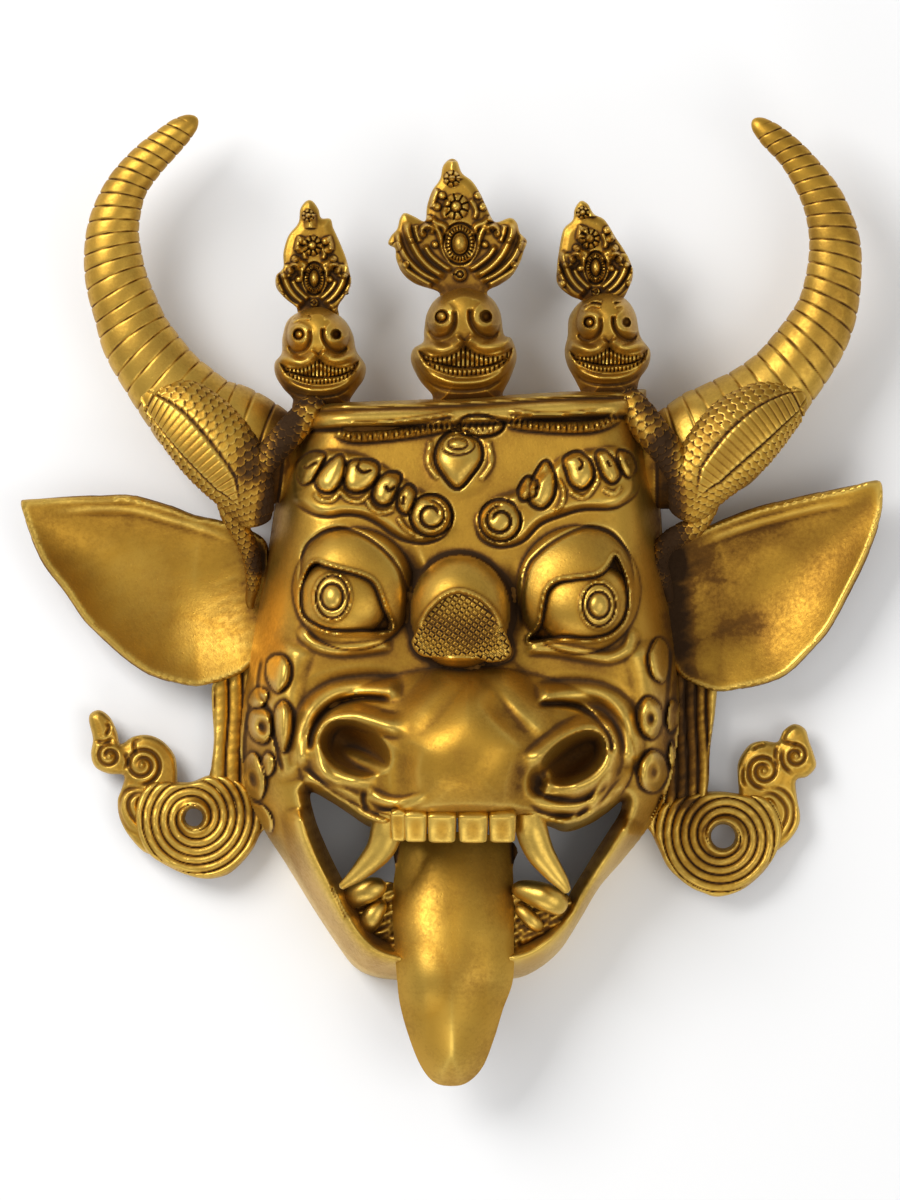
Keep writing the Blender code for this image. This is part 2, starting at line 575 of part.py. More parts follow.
SCROLL_L = [
    (-272, -231), (-266, -201), (-276, -186), (-277, -173), (-280, -157), (-292, -143), (-307, -137), (-322, -139),
    (-334, -146), (-338, -133), (-345, -119), (-355, -112), (-364, -115), (-366, -123), (-362, -141), (-364, -156),
    (-360, -169), (-347, -176), (-331, -178), (-333, -191), (-337, -203), (-335, -221), (-324, -241), (-306, -257),
    (-282, -253)]
SCROLL_R = [
    (290, -249), (286, -216), (289, -196), (288, -179), (289, -163), (300, -147), (314, -143), (328, -144),
    (334, -133), (345, -126), (356, -131), (360, -143), (365, -157), (367, -169), (358, -179), (347, -183),
    (348, -201), (351, -223), (342, -241), (324, -256), (303, -263)]
SKULLS = [  # outline, leaf outline, the two eyes, medallion, flower, top leaf, teeth row, lean
    dict(
        bone=[(-162, 283), (-170, 264), (-171, 247), (-178, 237), (-177, 224), (-169, 211), (-160, 201), (-156, 189),
              (-107, 191), (-102, 201), (-96, 210), (-88, 222), (-87, 235), (-96, 249), (-100, 267), (-111, 283),
              (-134, 294)],
        leaf=[(-152, 281), (-155, 291), (-167, 301), (-176, 312), (-176, 324), (-169, 332), (-169, 347), (-164, 364),
              (-154, 377), (-152, 391), (-146, 399), (-140, 399), (-134, 391), (-131, 382), (-122, 381), (-119, 372),
              (-114, 361), (-107, 344), (-103, 329), (-101, 316), (-107, 304), (-114, 293), (-116, 279)],
        eyes=((-153, 265), (-115, 266)), nose=(-134, 250), disc=(-138, 321), flower=(-140, 354), bud=(-144, 384),
        teeth=((-162, 225), (-104, 227)), mid=(-134, 254)),
    dict(
        bone=[(-14, 303), (-25, 287), (-28, 269), (-29, 258), (-39, 251), (-41, 238), (-32, 219), (-20, 205),
              (-14, 191), (48, 194), (51, 207), (59, 223), (65, 243), (60, 261), (52, 266), (48, 289),
              (36, 305), (11, 313)],
        leaf=[(-8, 299), (-14, 308), (-37, 316), (-50, 327), (-56, 341), (-57, 351), (-64, 356), (-61, 364),
              (-55, 371), (-52, 382), (-47, 387), (-37, 383), (-27, 379), (-25, 394), (-20, 409), (-12, 421),
              (-9, 434), (-2, 441), (5, 439), (10, 427), (20, 419), (28, 407), (35, 392), (43, 378),
              (58, 382), (65, 377), (68, 367), (75, 359), (72, 349), (68, 337), (60, 324), (48, 315),
              (36, 309), (32, 299)],
        eyes=((-11, 281), (34, 283)), nose=(12, 265), disc=(8, 356), flower=(4, 393), bud=(0, 421),
        teeth=((-22, 235), (47, 239)), mid=(12, 271)),
    dict(
        bone=[(131, 300), (118, 284), (116, 264), (113, 249), (116, 234), (123, 221), (129, 209), (136, 195),
              (184, 198), (186, 211), (189, 222), (197, 234), (199, 249), (189, 264), (184, 287), (173, 302),
              (152, 309)],
        leaf=[(136, 297), (128, 300), (118, 304), (106, 315), (105, 331), (108, 354), (112, 371), (121, 380),
              (123, 391), (129, 399), (136, 396), (142, 386), (153, 380), (163, 364), (173, 349), (180, 334),
              (181, 322), (176, 309), (172, 302), (166, 297)],
        eyes=((136, 278), (173, 278)), nose=(154, 261), disc=(144, 332), flower=(138, 361), bud=(131, 387),
        teeth=((125, 237), (183, 237)), mid=(154, 267))]
TONGUE = [
    (-54, -243), (3, -233), (60, -243), (61, -271), (62, -301), (62, -341), (61, -381), (51, -411),
    (42, -441), (31, -469), (16, -485), (0, -489), (-18, -485), (-32, -467), (-44, -436), (-52, -406),
    (-55, -381), (-58, -341), (-60, -301), (-57, -271)]
HORN_L = [
    (-147, 127, 44, 34), (-168, 136, 50, 43), (-190, 145, 54, 50), (-222, 163, 57, 52), (-250, 179, 60, 48),
    (-272, 201, 62, 43), (-290, 222, 64, 39), (-315, 259, 67, 36), (-326, 287, 69, 33), (-336, 317, 72, 31),
    (-340, 343, 74, 29), (-340, 369, 77, 26), (-334, 394, 80, 23), (-324, 416, 83, 20), (-306, 438, 86, 18),
    (-289, 454, 88, 16), (-271, 470, 90, 13), (-255, 482, 92, 7)]
HORN_R = [
    (180, 125, 44, 34), (202, 132, 50, 43), (228, 141, 54, 51), (263, 159, 58, 56), (288, 178, 60, 50),
    (310, 197, 62, 43), (333, 221, 64, 37), (351, 244, 66, 35), (366, 267, 68, 33), (377, 292, 70, 30),
    (383, 324, 73, 27.5), (384, 355, 76, 25.5), (378, 383, 79, 22.5), (369, 405, 82, 20), (355, 427, 85, 17),
    (339, 447, 87, 14.6), (319, 465, 89, 12.5), (301, 480, 91, 7)]
HOOD_L = [(-309, 210, 84, 9), (-294, 202, 86, 22), (-270, 186, 92, 34), (-240, 155, 96, 39), (-214, 121, 96, 34),
          (-200, 91, 92, 22), (-195, 73, 86, 10)]
HOOD_R = [(354, 206, 84, 9), (340, 200, 86, 22), (313, 184, 92, 34), (283, 159, 96, 40), (254, 126, 96, 34),
          (238, 96, 92, 22), (230, 80, 86, 11)]
NECK_L = [(-134, 201, 92, 11), (-144, 187, 102, 13), (-162, 167, 104, 14), (-180, 147, 100, 13),
          (-194, 125, 92, 11)]
NECK_R = [(170, 207, 92, 11), (182, 191, 102, 15), (200, 167, 104, 16), (216, 147, 100, 15),
          (232, 117, 94, 12)]
TAIL_L = [(-228, 101, 78, 8), (-223, 87, 80, 9), (-214, 71, 76, 9.5), (-205, 53, 66, 9), (-200, 35, 58, 8),
          (-200, 15, 50, 6.5), (-203, -1, 44, 5), (-202, -10, 40, 3)]
TAIL_R = [(260, 97, 80, 8), (253, 86, 82, 9.5), (242, 72, 80, 10), (224, 62, 78, 10), (211, 51, 74, 9.5),
          (207, 36, 66, 9), (211, 21, 56, 8), (216, 9, 48, 6.5), (219, -3, 40, 4)]
FANG_L = [(-63, -207, 157, 14), (-65, -229, 146, 16), (-71, -248, 143, 14.5), (-85, -265, 140, 11),
          (-99, -278, 138, 7), (-112, -288, 136, 3)]
FANG_R = [(76, -207, 157, 14), (79, -229, 146, 16), (87, -251, 143, 14.5), (99, -269, 140, 11),
          (109, -282, 138, 7.5), (116, -293, 136, 3.5)]
TEETH = [(-53, -223, 7.5), (-36, -223, 11.5), (-10, -223, 14.5), (21, -223, 15), (50, -223, 13.5)]
MOLARS = [
    [(-106, -304, 84, 9), (-94, -296, 98, 12), (-80, -290, 104, 12), (-66, -286, 98, 7)],
    [(-90, -333, 78, 8), (-82, -322, 92, 11), (-75, -311, 96, 9), (-68, -304, 88, 6)],
    [(60, -289, 92, 7), (78, -293, 100, 12), (97, -300, 104, 14), (112, -310, 92, 10)],
    [(65, -307, 88, 5), (72, -314, 93, 7.5), (81, -323, 94, 8), (90, -332, 88, 5)]]
GUMS = {
    -1: [(-106, -307), (-96, -293), (-76, -283), (-50, -289), (-46, -321), (-48, -357), (-66, -349), (-86, -339),
         (-100, -323)],
    1: [(54, -291), (72, -285), (96, -287), (116, -297), (120, -309), (106, -331), (86, -345), (54, -357),
        (50, -321)]}
TONGUE_RISE = [(-228, 96), (-250, 102), (-275, 109), (-305, 118), (-340, 127), (-380, 130), (-420, 121), (-460, 107),
               (-492, 92)]  # its height along the middle, as (row, height)
TONGUE_FALL = 28  # from its middle to its edges
RINGS, RING_DEPTH = 27, 5


def ear(side):
    loop = smooth_line(EAR_L if side < 0 else EAR_R, steps=4, closed=True)

    def carve(c):
        d = np.clip(depth_in(c.x, c.y, loop), 0, None)
        out = np.clip((side * c.x - 190) / 240, 0, 1)
        well = np.hypot((side * c.x - 275) / 230, (c.y + 20) / 130)
        c.z[:] = 38 + 22 * out - 16 * ease(d / 26) - 14 * np.clip(1 - well**2, 0, 1) + 4 * soft((d - 5) / 7)
    return loop, carve


def flange(side):
    loop = smooth_line(FLANGE_L if side < 0 else FLANGE_R, steps=4, closed=True)

    def carve(c):
        c.z[:] = 30 + 2.5 * np.cos(c.x * 0.62) + 4 * ease((36 - np.abs(side * c.x - 222)) / 16)
    return loop, carve


LEFT_HOLE, RIGHT_HOLE = (-260, -220), (273, -239)


def coil(side):
    loop = smooth_line(COIL_L if side < 0 else COIL_R, steps=4, closed=True)
    at = LEFT_HOLE if side < 0 else RIGHT_HOLE

    def carve(c):
        r = np.hypot(c.x - at[0], c.y - at[1])
        d = np.clip(depth_in(c.x, c.y, loop), 0, None)
        c.z[:] = 34 + 5 * dome((r - 18) / 13) + 2.4 * np.cos((r - 9) * 0.62) * ease((r - 12) / 12)
        c.z -= 8 * (1 - ease(d / 9))
    return loop, carve


SCROLL_CURLS = {  # centre, radius and where the furrow starts
    -1: (((-312, -211), 27, 40), ((-309, -166), 26, 250), ((-347, -158), 15, 60), ((-355, -129), 9, 90)),
    1: (((328, -221), 27, 140), ((313, -171), 25, 290), ((348, -159), 16, 120), ((345, -139), 9, 90))}


def scroll(side):
    loop = smooth_line(SCROLL_L if side < 0 else SCROLL_R, steps=4, closed=True)

    def carve(c):
        d = np.clip(depth_in(c.x, c.y, loop), 0, None)
        c.z[:] = 21 + 10 * ease(d / 9)
        for at, r, start in SCROLL_CURLS[side]:
            c.mound(at, r, r, 5)
            c.coil(at, r * 0.78, -side * 1.5, start, r * 0.2, -4.5, shrink=0.2)
    return loop, carve


def skull(parts):
    bone = smooth_line(parts["bone"], steps=4, closed=True)

    def carve(c):
        mid = parts["mid"]
        d = np.clip(depth_in(c.x, c.y, bone), 0, None)
        c.z[:] = 70 + 44 * np.clip(1 - (1 - np.clip(d / 26, 0, 1)) ** 2, 0, 1) ** 0.5
        c.swell((mid[0], mid[1] + 14), 38, 36, 134, 38, blend=8)
        for at in parts["eyes"]:
            c.mound(at, 21, 21, 5)
            c.mound(at, 15, 15, -22, form=lambda r: np.clip(1 - r**3, 0, 1))
            c.mound(at, 9, 9, 15, form=dome)
        c.mound(parts["nose"], 7, 11, -14)
        (ax, ay), (bx, by) = parts["teeth"]
        mouth = [(ax, ay), ((3 * ax + bx) / 4, (3 * ay + by) / 4 + 9), ((ax + bx) / 2, (ay + by) / 2 + 14),
                 ((ax + 3 * bx) / 4, (ay + 3 * by) / 4 + 9), (bx, by)]
        c.ridge(mouth, 5, -8)
        jaw = [(x, y - 13) for x, y in mouth]
        c.ridge(jaw, 10, 7)
        for k in range(13):
            t = k / 12
            x, y = ax + (bx - ax) * t, ay + (by - ay) * t + 14 * math.sin(math.pi * t)
            c.ridge([(x, y + 8), (x, y - 20)], 1.6, -3)
        for s in (-1, 1):
            cheek = [(mid[0] + s * 42, mid[1] + 2), (mid[0] + s * 36, mid[1] - 16), (mid[0] + s * 44, mid[1] - 30)]
            c.ridge(cheek, 10, 8)
        c.z[:] = np.minimum(c.z, 70 + 68 * np.clip(1 - (1 - np.clip(d / 24, 0, 1)) ** 2, 0, 1) ** 0.5)
    return bone, carve


def leaf(parts):
    loop = smooth_line(parts["leaf"], steps=4, closed=True)

    def carve(c):
        d = np.clip(depth_in(c.x, c.y, loop), 0, None)
        c.z[:] = 84 + 8 * ease(d / 7) - 5 * soft((d - 10) / 4)
        for at, r in ((parts["disc"], 21), (parts["flower"], 12), (parts["bud"], 7)):
            c.mound(at, r + 4, r + 4, 4)
            c.mound(at, r, r, 5, form=dome)
            c.mound(at, r * 0.62, r * 0.62, -4, form=lambda q: np.clip(1 - q**4, 0, 1))
            c.mound(at, r * 0.45, r * 0.45, 6, form=dome)
        x, y = parts["disc"]
        for s in (-1, 1):
            c.coil((x + s * 24, y - 14), 8, -s * 1.3, 90, 2.6, -4)
            c.coil((x + s * 25, y + 12), 7, s * 1.3, 270, 2.4, -4)
    return loop, carve


def tongue_form(c):
    rise = smooth_line(TONGUE_RISE)
    d = np.clip(depth_in(c.x, c.y, smooth_line(TONGUE, closed=True)), 0, None)
    c.z[:] = np.interp(-c.y, -rise[:, 0], rise[:, 1]) - TONGUE_FALL * (1 - np.clip(d / 58, 0, 1)) ** 2.4


def gum(side):
    loop = smooth_line(GUMS[side], steps=4, closed=True)

    def carve(c):
        d = np.clip(depth_in(c.x, c.y, loop), 0, None)
        c.z[:] = 83 + 7 * ease(d / 12)
    return loop, carve


def ringed(rings, depth, slant):
    """Growth rings of a horn: steps that lean a little across it."""
    def relief(share, angle):
        t = (share + slant * np.cos(angle)) * rings
        step = t - np.floor(t)
        return depth * (1 - share) * (0.55 - np.abs(step - 0.62) ** 1.0 * 1.4)
    return relief


def belly(share, angle):
    """The plated belly of a snake, up the middle of its hood."""
    strip = ease((0.62 - np.abs(angle - math.pi / 2)) / 0.12)
    plates = 0.5 + 0.5 * np.cos(share * 2 * math.pi * 12)
    return strip * (1.2 + 2.2 * plates) * ease((1 - share) / 0.3)


def form_face(c):
    c.z[:] = base(c.x, c.y)
    carve_face(c)


for old in list(bpy.data.objects):
    bpy.data.objects.remove(old, do_unlink=True)


def collection(name):
    made = bpy.data.collections.new(name)
    bpy.context.scene.collection.children.link(made)
    return made


def guide(group, item):
    group.objects.link(item)
    item.hide_render = True
    item.display_type = "WIRE"


brass = bpy.data.materials.new("Antique brass")
brass.use_nodes = True
look = brass.node_tree.nodes["Principled BSDF"]
look.inputs["Base Color"].default_value = (0.50, 0.33, 0.09, 1)
look.inputs["Metallic"].default_value = 1.0
look.inputs["Roughness"].default_value = 0.36

mask_parts = collection("Guardian mask")
forms = collection("Forms joined to the mask")
bores = collection("Bores")

rim = np.vstack([smooth_line(JAW_LINE), smooth_line([JAW_LINE[-1]] + BAND_TOP + [JAW_LINE[0]])[1:-1]])
sheet = disc_sheet(rim, np.array(FACE_MIDDLE), 92)
mouth = smooth_line(MOUTH, closed=True)
centres = np.array([f.calc_center_median() for f in sheet.faces])
open_here = inside(centres[:, 0], centres[:, 1], mouth)
drop(sheet, [f for f, o in zip(sheet.faces, open_here) if o])
drop_loose_corners(sheet)
pull_to(sheet, mouth, 14)
face = shell("mask", sheet, form_face, WALL, rounds=6, rests=True)
mask_parts.objects.link(face)
face.data.materials.append(brass)

added = []
for tag, side in (("left", -1), ("right", 1)):
    for form, make, wall, cell in (("ear", ear, EAR_WALL, 11), ("flange", flange, PENDANT_WALL, 7),
                                   ("coil", coil, PENDANT_WALL, 5), ("scroll", scroll, PENDANT_WALL, 5)):
        outline, carve = make(side)
        added.append(shell(f"{tag} {form}", cut_sheet(outline, cell), carve, wall))
for tag, parts in zip(("left", "middle", "right"), SKULLS):
    outline, carve = skull(parts)
    added.append(shell(f"{tag} skull", cut_sheet(outline, 4.5), carve, CROWN_WALL))
    outline, carve = leaf(parts)
    added.append(shell(f"{tag} leaf", cut_sheet(outline, 5.5), carve, CROWN_WALL))
    outline, carve = gum(side)
    added.append(shell(f"{tag} gum", cut_sheet(outline, 9), carve, GUM_WALL))
added.append(shell("tongue", cut_sheet(smooth_line(TONGUE, closed=True), 10), tongue_form, TONGUE_WALL))
added.append(rod("left horn", HORN_L, 12, 54, 0.86, ringed(RINGS, RING_DEPTH, 0.012)))
added.append(rod("right horn", HORN_R, 12, 54, 0.86, ringed(RINGS, RING_DEPTH, -0.012)))
added.append(rod("left hood", HOOD_L, 20, 36, 0.56, belly))
added.append(rod("right hood", HOOD_R, 20, 36, 0.56, belly))
for name, path in (("left neck", NECK_L), ("right neck", NECK_R), ("left tail", TAIL_L), ("right tail", TAIL_R)):
    added.append(rod(name, path, 10, 14))
for name, path in (("left fang", FANG_L), ("right fang", FANG_R)):
    added.append(rod(name, path, 12, 10))
for k, (x, y, width) in enumerate(TEETH):
    added.append(rod(f"tooth {k + 1}", [(x, y + 14, 181, width), (x, y, 169, width), (x, y - 18, 160, width - 1)],
                     12, 5, 0.75))
for k, path in enumerate(MOLARS):
    added.append(rod(f"lower tooth {k + 1}", path, 10, 6))
for item in added:
    guide(forms, item)

horn_skin = HORN_WALL / ROUND + 0.6 * RING_DEPTH
for name, path in (("left horn bore", HORN_L), ("right horn bore", HORN_R)):
    hollow = [(x, y, z, r - horn_skin) for x, y, z, r in path[:12]]
    guide(bores, rod(name, hollow, 12, 16, 0.84))
for name, at, bore in (("left eyelet", LEFT_HOLE, LEFT_EYELET), ("right eyelet", RIGHT_HOLE, RIGHT_EYELET)):
    bm = bmesh.new()
    bmesh.ops.create_cone(bm, segments=20, radius1=bore / 2, radius2=bore / 2, depth=DEPTH, cap_ends=True)
    bmesh.ops.translate(bm, vec=(at[0] * GRID[0], at[1] * GRID[1], DEPTH / 4), verts=bm.verts)
    mesh = bpy.data.meshes.new(name)
    bm.to_mesh(mesh)
    bm.free()
    guide(bores, bpy.data.objects.new(name, mesh))


def settle(item):
    """Puts what an object's modifiers make in place of its mesh."""
    if item.name not in bpy.context.scene.collection.all_objects:
        bpy.context.scene.collection.objects.link(item)
    bpy.context.view_layer.update()
    made = bpy.data.meshes.new_from_object(item.evaluated_get(bpy.context.evaluated_depsgraph_get()))
    item.modifiers.clear()
    old, item.data = item.data, made
    bpy.data.meshes.remove(old)
    clear_crumbs(made, CRUMB)


def thinned(item, faces):
    if faces < len(item.data.polygons):
        thin = item.modifiers.new("Fewer faces", "DECIMATE")
        thin.ratio = faces / len(item.data.polygons)
        settle(item)


def joined(item, label, operation, group):
    joint = item.modifiers.new(label, "BOOLEAN")
    joint.operation = operation
    joint.operand_type = "COLLECTION"
    joint.collection = group
    joint.solver = "MANIFOLD"
    settle(item)


for item in [face] + added:
    thinned(item, FACES.get(item.name.split()[-1], 1000))
joined(face, "Join", "UNION", forms)
joined(face, "Bore", "DIFFERENCE", bores)
thinned(face, TRIANGLES)

floor = bmesh.new()
bmesh.ops.create_cube(floor, size=1)
bmesh.ops.scale(floor, vec=(2 * WIDTH, 2 * HEIGHT, DEPTH / 6), verts=floor.verts)
bmesh.ops.translate(floor, vec=(0, 0, RIM_CUT - DEPTH / 12), verts=floor.verts)
mesh = bpy.data.meshes.new("wall plane")
floor.to_mesh(mesh)
floor.free()
ground = collection("Wall")
guide(ground, bpy.data.objects.new("wall plane", mesh))
joined(face, "Flat rim", "DIFFERENCE", ground)

spots = np.array([v.co for v in face.data.vertices])
low, high = spots.min(axis=0), spots.max(axis=0)
shift = np.array([-(low[0] + high[0]) / 2, -(low[1] + high[1]) / 2, -low[2]])
for item in [face] + list(forms.objects) + list(bores.objects) + list(ground.objects):
    item.location = shift
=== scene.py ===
# %% [markdown]
# A guardian's mask in cast brass
#
# The real mask is one hollow casting, made by the lost-wax way: a wax model is carved, coated in clay,
# melted out, and brass is poured in its place. Afterwards the high places are rubbed bright, and the
# dark skin that brass grows with age stays in the carving. This lesson models the mask in the same
# order: first the plain forms, then the carving, then the bright and dark of the finish, with some
# painted shade and a painted highlight among them.
#
# The imported model is loaded first. It says how large the mask is, and the pieces made here stand for
# it. They could be subdivided copies of its mesh, but carving wants even, small faces, so they are new
# sheets and bars, laid out on the drawing that the solid was made from.

# %% Load the frame
import math

import bpy
import numpy as np
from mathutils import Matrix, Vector


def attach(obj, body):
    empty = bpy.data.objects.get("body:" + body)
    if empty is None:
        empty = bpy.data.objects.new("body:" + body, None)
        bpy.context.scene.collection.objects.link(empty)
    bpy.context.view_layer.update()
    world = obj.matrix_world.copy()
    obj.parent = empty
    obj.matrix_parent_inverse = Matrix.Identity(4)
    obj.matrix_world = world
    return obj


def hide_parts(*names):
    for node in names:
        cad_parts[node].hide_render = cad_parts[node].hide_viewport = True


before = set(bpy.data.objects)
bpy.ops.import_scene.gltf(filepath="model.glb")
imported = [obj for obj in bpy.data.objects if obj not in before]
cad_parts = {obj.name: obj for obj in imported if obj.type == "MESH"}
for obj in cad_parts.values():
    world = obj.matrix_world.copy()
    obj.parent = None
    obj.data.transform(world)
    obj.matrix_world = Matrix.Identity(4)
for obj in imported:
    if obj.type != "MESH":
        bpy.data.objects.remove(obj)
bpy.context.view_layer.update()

# %% [markdown]
# The drawing
#
# A sculptor pricks the main points of a drawing onto the wax. Here the drawing has squares of about
# half a millimetre: 978 of them go into the height. X runs to the right as one looks at the mask, Y up
# its face and Z out of it, all counted from a point level with the eyes. Points are kept in squares
# until a mesh is finished, because whole numbers are easier to read and to compare than fractions of a
# metre.

# %% Sizes of the real mask
HEIGHT = 0.560
SQUARES_UP = 978
SQUARE = HEIGHT / SQUARES_UP
FACE_WALL, EAR_WALL, PENDANT_WALL = 0.0034, 0.0032, 0.0040
CROWN_WALL, TONGUE_WALL, GUM_WALL, KNOB_WALL = 0.0036, 0.0055, 0.0050, 0.0015
LEFT_EYELET, RIGHT_EYELET = 0.0102, 0.0138  # bores
ORIGIN = np.array([-0.00057, 0.00011, -0.0009])  # where the drawing's zero lies in the frame
SIDES = (("left", -1), ("right", 1))
print("a square is", round(SQUARE * 1000, 3), "mm")

# %% [markdown]
# Lines and outlines
#
# Almost every shape of the mask starts as a line: the outline of an ear, the roll of a lip, a furrow of
# a brow. Curve objects could hold them, but plain points through which a smooth line passes are quicker
# to measure against. `smooth_line` rounds a few points into a curve. `to_line` says how far places are
# from it, and `depth_in` how far they lie inside a closed one. With those, carving is a matter of
# height by distance.

# %% Lines through points
def smooth_line(points, steps=8, closed=False):
    p = np.asarray(points, float)
    if closed:
        ring = np.vstack([p[-1:], p, p[:2]])
    else:
        ring = np.vstack([2 * p[:1] - p[1:2], p, 2 * p[-1:] - p[-2:-1]])
    t = (np.arange(steps) / steps)[:, None]
    spans = []
    for a, b, c, d in zip(ring[:-3], ring[1:-2], ring[2:-1], ring[3:]):
        bend = 2 * a - 5 * b + 4 * c - d
        spans.append(0.5 * (2 * b + (c - a) * t + bend * t**2 + (3 * b - a - 3 * c + d) * t**3))
    if not closed:
        spans.append(p[-1:])
    return np.vstack(spans)


def to_line(x, y, line):
    best = np.full(x.shape, 1e9)
    share = np.zeros(x.shape)
    lengths = np.hypot(*np.diff(line[:, :2], axis=0).T)
    total = lengths.sum()
    run = 0.0
    for (ax, ay), (bx, by), length in zip(line[:-1, :2], line[1:, :2], lengths):
        if length > 1e-9:
            t = np.clip(((x - ax) * (bx - ax) + (y - ay) * (by - ay)) / length**2, 0, 1)
            d = np.hypot(x - ax - t * (bx - ax), y - ay - t * (by - ay))
            closer = d < best
            best = np.where(closer, d, best)
            share = np.where(closer, (run + t * length) / total, share)
            run += length
    return best, share


def inside(x, y, loop):
    hit = np.zeros(x.shape, bool)
    for (ax, ay), (bx, by) in zip(loop, np.roll(loop, -1, axis=0)):
        if ay != by:
            hit ^= ((ay > y) != (by > y)) & (x < ax + (y - ay) * (bx - ax) / (by - ay))
    return hit


def depth_in(x, y, loop):
    d, _ = to_line(x, y, np.vstack([loop, loop[:1]]))
    return np.where(inside(x, y, loop), d, -d)


def ease(t):
    t = np.clip(t, 0, 1)
    return t * t * (3 - 2 * t)


def soft(r):
    return np.clip(1 - r * r, 0, 1) ** 2


def dome(r):
    return np.sqrt(np.clip(1 - r * r, 0, 1))


def bowl(r):
    return np.clip(1 - r * r, 0, 1) ** 1.3


def rough(x, y, size):
    """An uneven skin, as where a tool left the wax rough: lumps of a size, from about -1 to 1 high."""
    total = np.zeros(x.shape)
    for finer, height in ((1.0, 0.8), (2.3, 0.5)):
        u, v = finer * (x + 0.4 * y) / size, finer * (y - 0.4 * x) / size
        i, j = np.floor(u), np.floor(v)
        a, b = ease(u - i), ease(v - j)
        for m, n, share in (
                (0, 0, (1 - a) * (1 - b)), (1, 0, a * (1 - b)), (0, 1, (1 - a) * b), (1, 1, a * b)):
            total += height * share * np.modf(np.sin(12.99 * (i + m) + 78.23 * (j + n)) * 43758.5)[0]
    return total


def grow(a, b, blend):
    """The higher of two surfaces, with a soft valley where they meet."""
    return np.maximum(a, b) + np.clip(blend - np.abs(a - b), 0, None) ** 2 / (4 * blend)


# %% [markdown]
# Clay
#
# The relief is built as a sculptor lays clay: a ridge is a roll along a line, a mound is a pellet, a
# swell is a body that grows out of what is there. Blender's sculpt brushes do this by hand, but strokes
# can't be repeated or corrected one by one. A `Clay` holds the height of every point of a sheet, and
# each stroke adds to it or takes from it, so a stroke that is wrong is one line to change.

# %% Strokes
class Clay:
    def __init__(self, x, y, z):
        self.x, self.y, self.z = x, y, z

    def near(self, points, margin):
        p = np.asarray(points, float)[:, :2]
        lo, hi = p.min(axis=0) - margin, p.max(axis=0) + margin
        return np.nonzero((self.x > lo[0]) & (self.x < hi[0]) & (self.y > lo[1]) & (self.y < hi[1]))[0]

    def ridge(self, points, width, height, form=soft, beads=0, closed=False, taper=0.1):
        line = smooth_line(points, closed=closed)
        if closed:
            line = np.vstack([line, line[:1]])
        i = self.near(line, width)
        d, t = to_line(self.x[i], self.y[i], line)
        left = np.ones(t.shape)
        if not closed:
            left *= ease(t / taper) * ease((1 - t) / taper)
        if beads:
            left *= 0.62 + 0.38 * np.cos(2 * math.pi * beads * t)
        self.z[i] += height * left * form(d / width)

    def about(self, at, rx, ry, reach, turn=0.0):
        """The points near a place, and how far from it they lie, as shares of its two radii."""
        i = self.near([at], reach)
        c, s = math.cos(math.radians(turn)), math.sin(math.radians(turn))
        dx, dy = self.x[i] - at[0], self.y[i] - at[1]
        return i, np.hypot((dx * c + dy * s) / rx, (dy * c - dx * s) / ry)

    def mound(self, at, rx, ry, height, turn=0.0, form=soft):
        i, r = self.about(at, rx, ry, max(rx, ry), turn)
        self.z[i] += height * form(r)

    def swell(self, at, rx, ry, top, fall, blend=8.0, power=2.0):
        """A rounded body that grows out of what is there, instead of being laid on top of it."""
        i, r = self.about(at, rx, ry, 1.6 * max(rx, ry))
        body = top - fall * (1 - np.clip(1 - r**power, 0, 1) ** (1 / power))
        body -= 160 * np.clip(r - 1, 0, None)  # beyond its outline it drops steeply out of sight
        self.z[i] = grow(self.z[i], body, blend)

    def pad(self, outline, height, edge):
        loop = smooth_line(outline, closed=True)
        i = self.near(loop, 2)
        self.z[i] += height * ease(depth_in(self.x[i], self.y[i], loop) / edge)

    def coil(self, at, radius, turns, start, width, height, shrink):
        t = np.linspace(0, 1, max(8, int(14 * abs(turns))))
        a = np.radians(start) + 2 * math.pi * turns * t
        r = radius * (1 - (1 - shrink) * t)
        self.ridge(np.column_stack([at[0] + r * np.cos(a), at[1] + r * np.sin(a)]), width, height)


# %% [markdown]
# Pellets and lines
#
# A brow on the real mask is a row of curled tufts, each with a round edge and a furrow round it. A
# pellet is that stroke: it follows any outline, rises like a dome near its border and presses a furrow
# just outside.

# %% More strokes
def pellet(c, outline, height, edge, groove, wide=2.8):
    loop = smooth_line(outline, closed=True)
    i = c.near(loop, 6)
    d = depth_in(c.x[i], c.y[i], loop)
    c.z[i] += height * np.sqrt(1 - (1 - np.clip(d / edge, 0, 1)) ** 2) - groove * soft((d + 1.2) / wide)


def cushion(c, outline, height, edge, blur):
    """A pad whose top and sides flow into each other: the mean of pads a little aside from one another."""
    loop = smooth_line(outline, closed=True)
    i = c.near(loop, blur)
    for k in range(13):
        r, a = blur * math.sqrt(k / 13), 2.4 * k
        d = depth_in(c.x[i] + r * math.cos(a), c.y[i] + r * math.sin(a), loop)
        c.z[i] += height / 13 * ease(d / edge)


def lines(c, width, height, *paths, taper=0.1):
    for path in paths:
        c.ridge(path, width, height, taper=taper)


def ring(c, at, rx, ry, width, height):
    a = np.linspace(0, 2 * math.pi, 21)[:-1]
    c.ridge(np.column_stack([at[0] + rx * np.cos(a), at[1] + ry * np.sin(a)]), width, height, closed=True)


# %% [markdown]
# Sheets with two skins
#
# The face, the ears and the crown are thin walls. Each is a grid of small squares trimmed to its
# outline, whose border points are moved onto the outline, and then raised to the carved height. A
# Solidify modifier could give it a back, but the back would repeat all the fine carving, which a real
# casting hasn't got behind. So the back is a second, coarser sheet a wall's thickness below, and a
# strip of triangles joins the two borders.

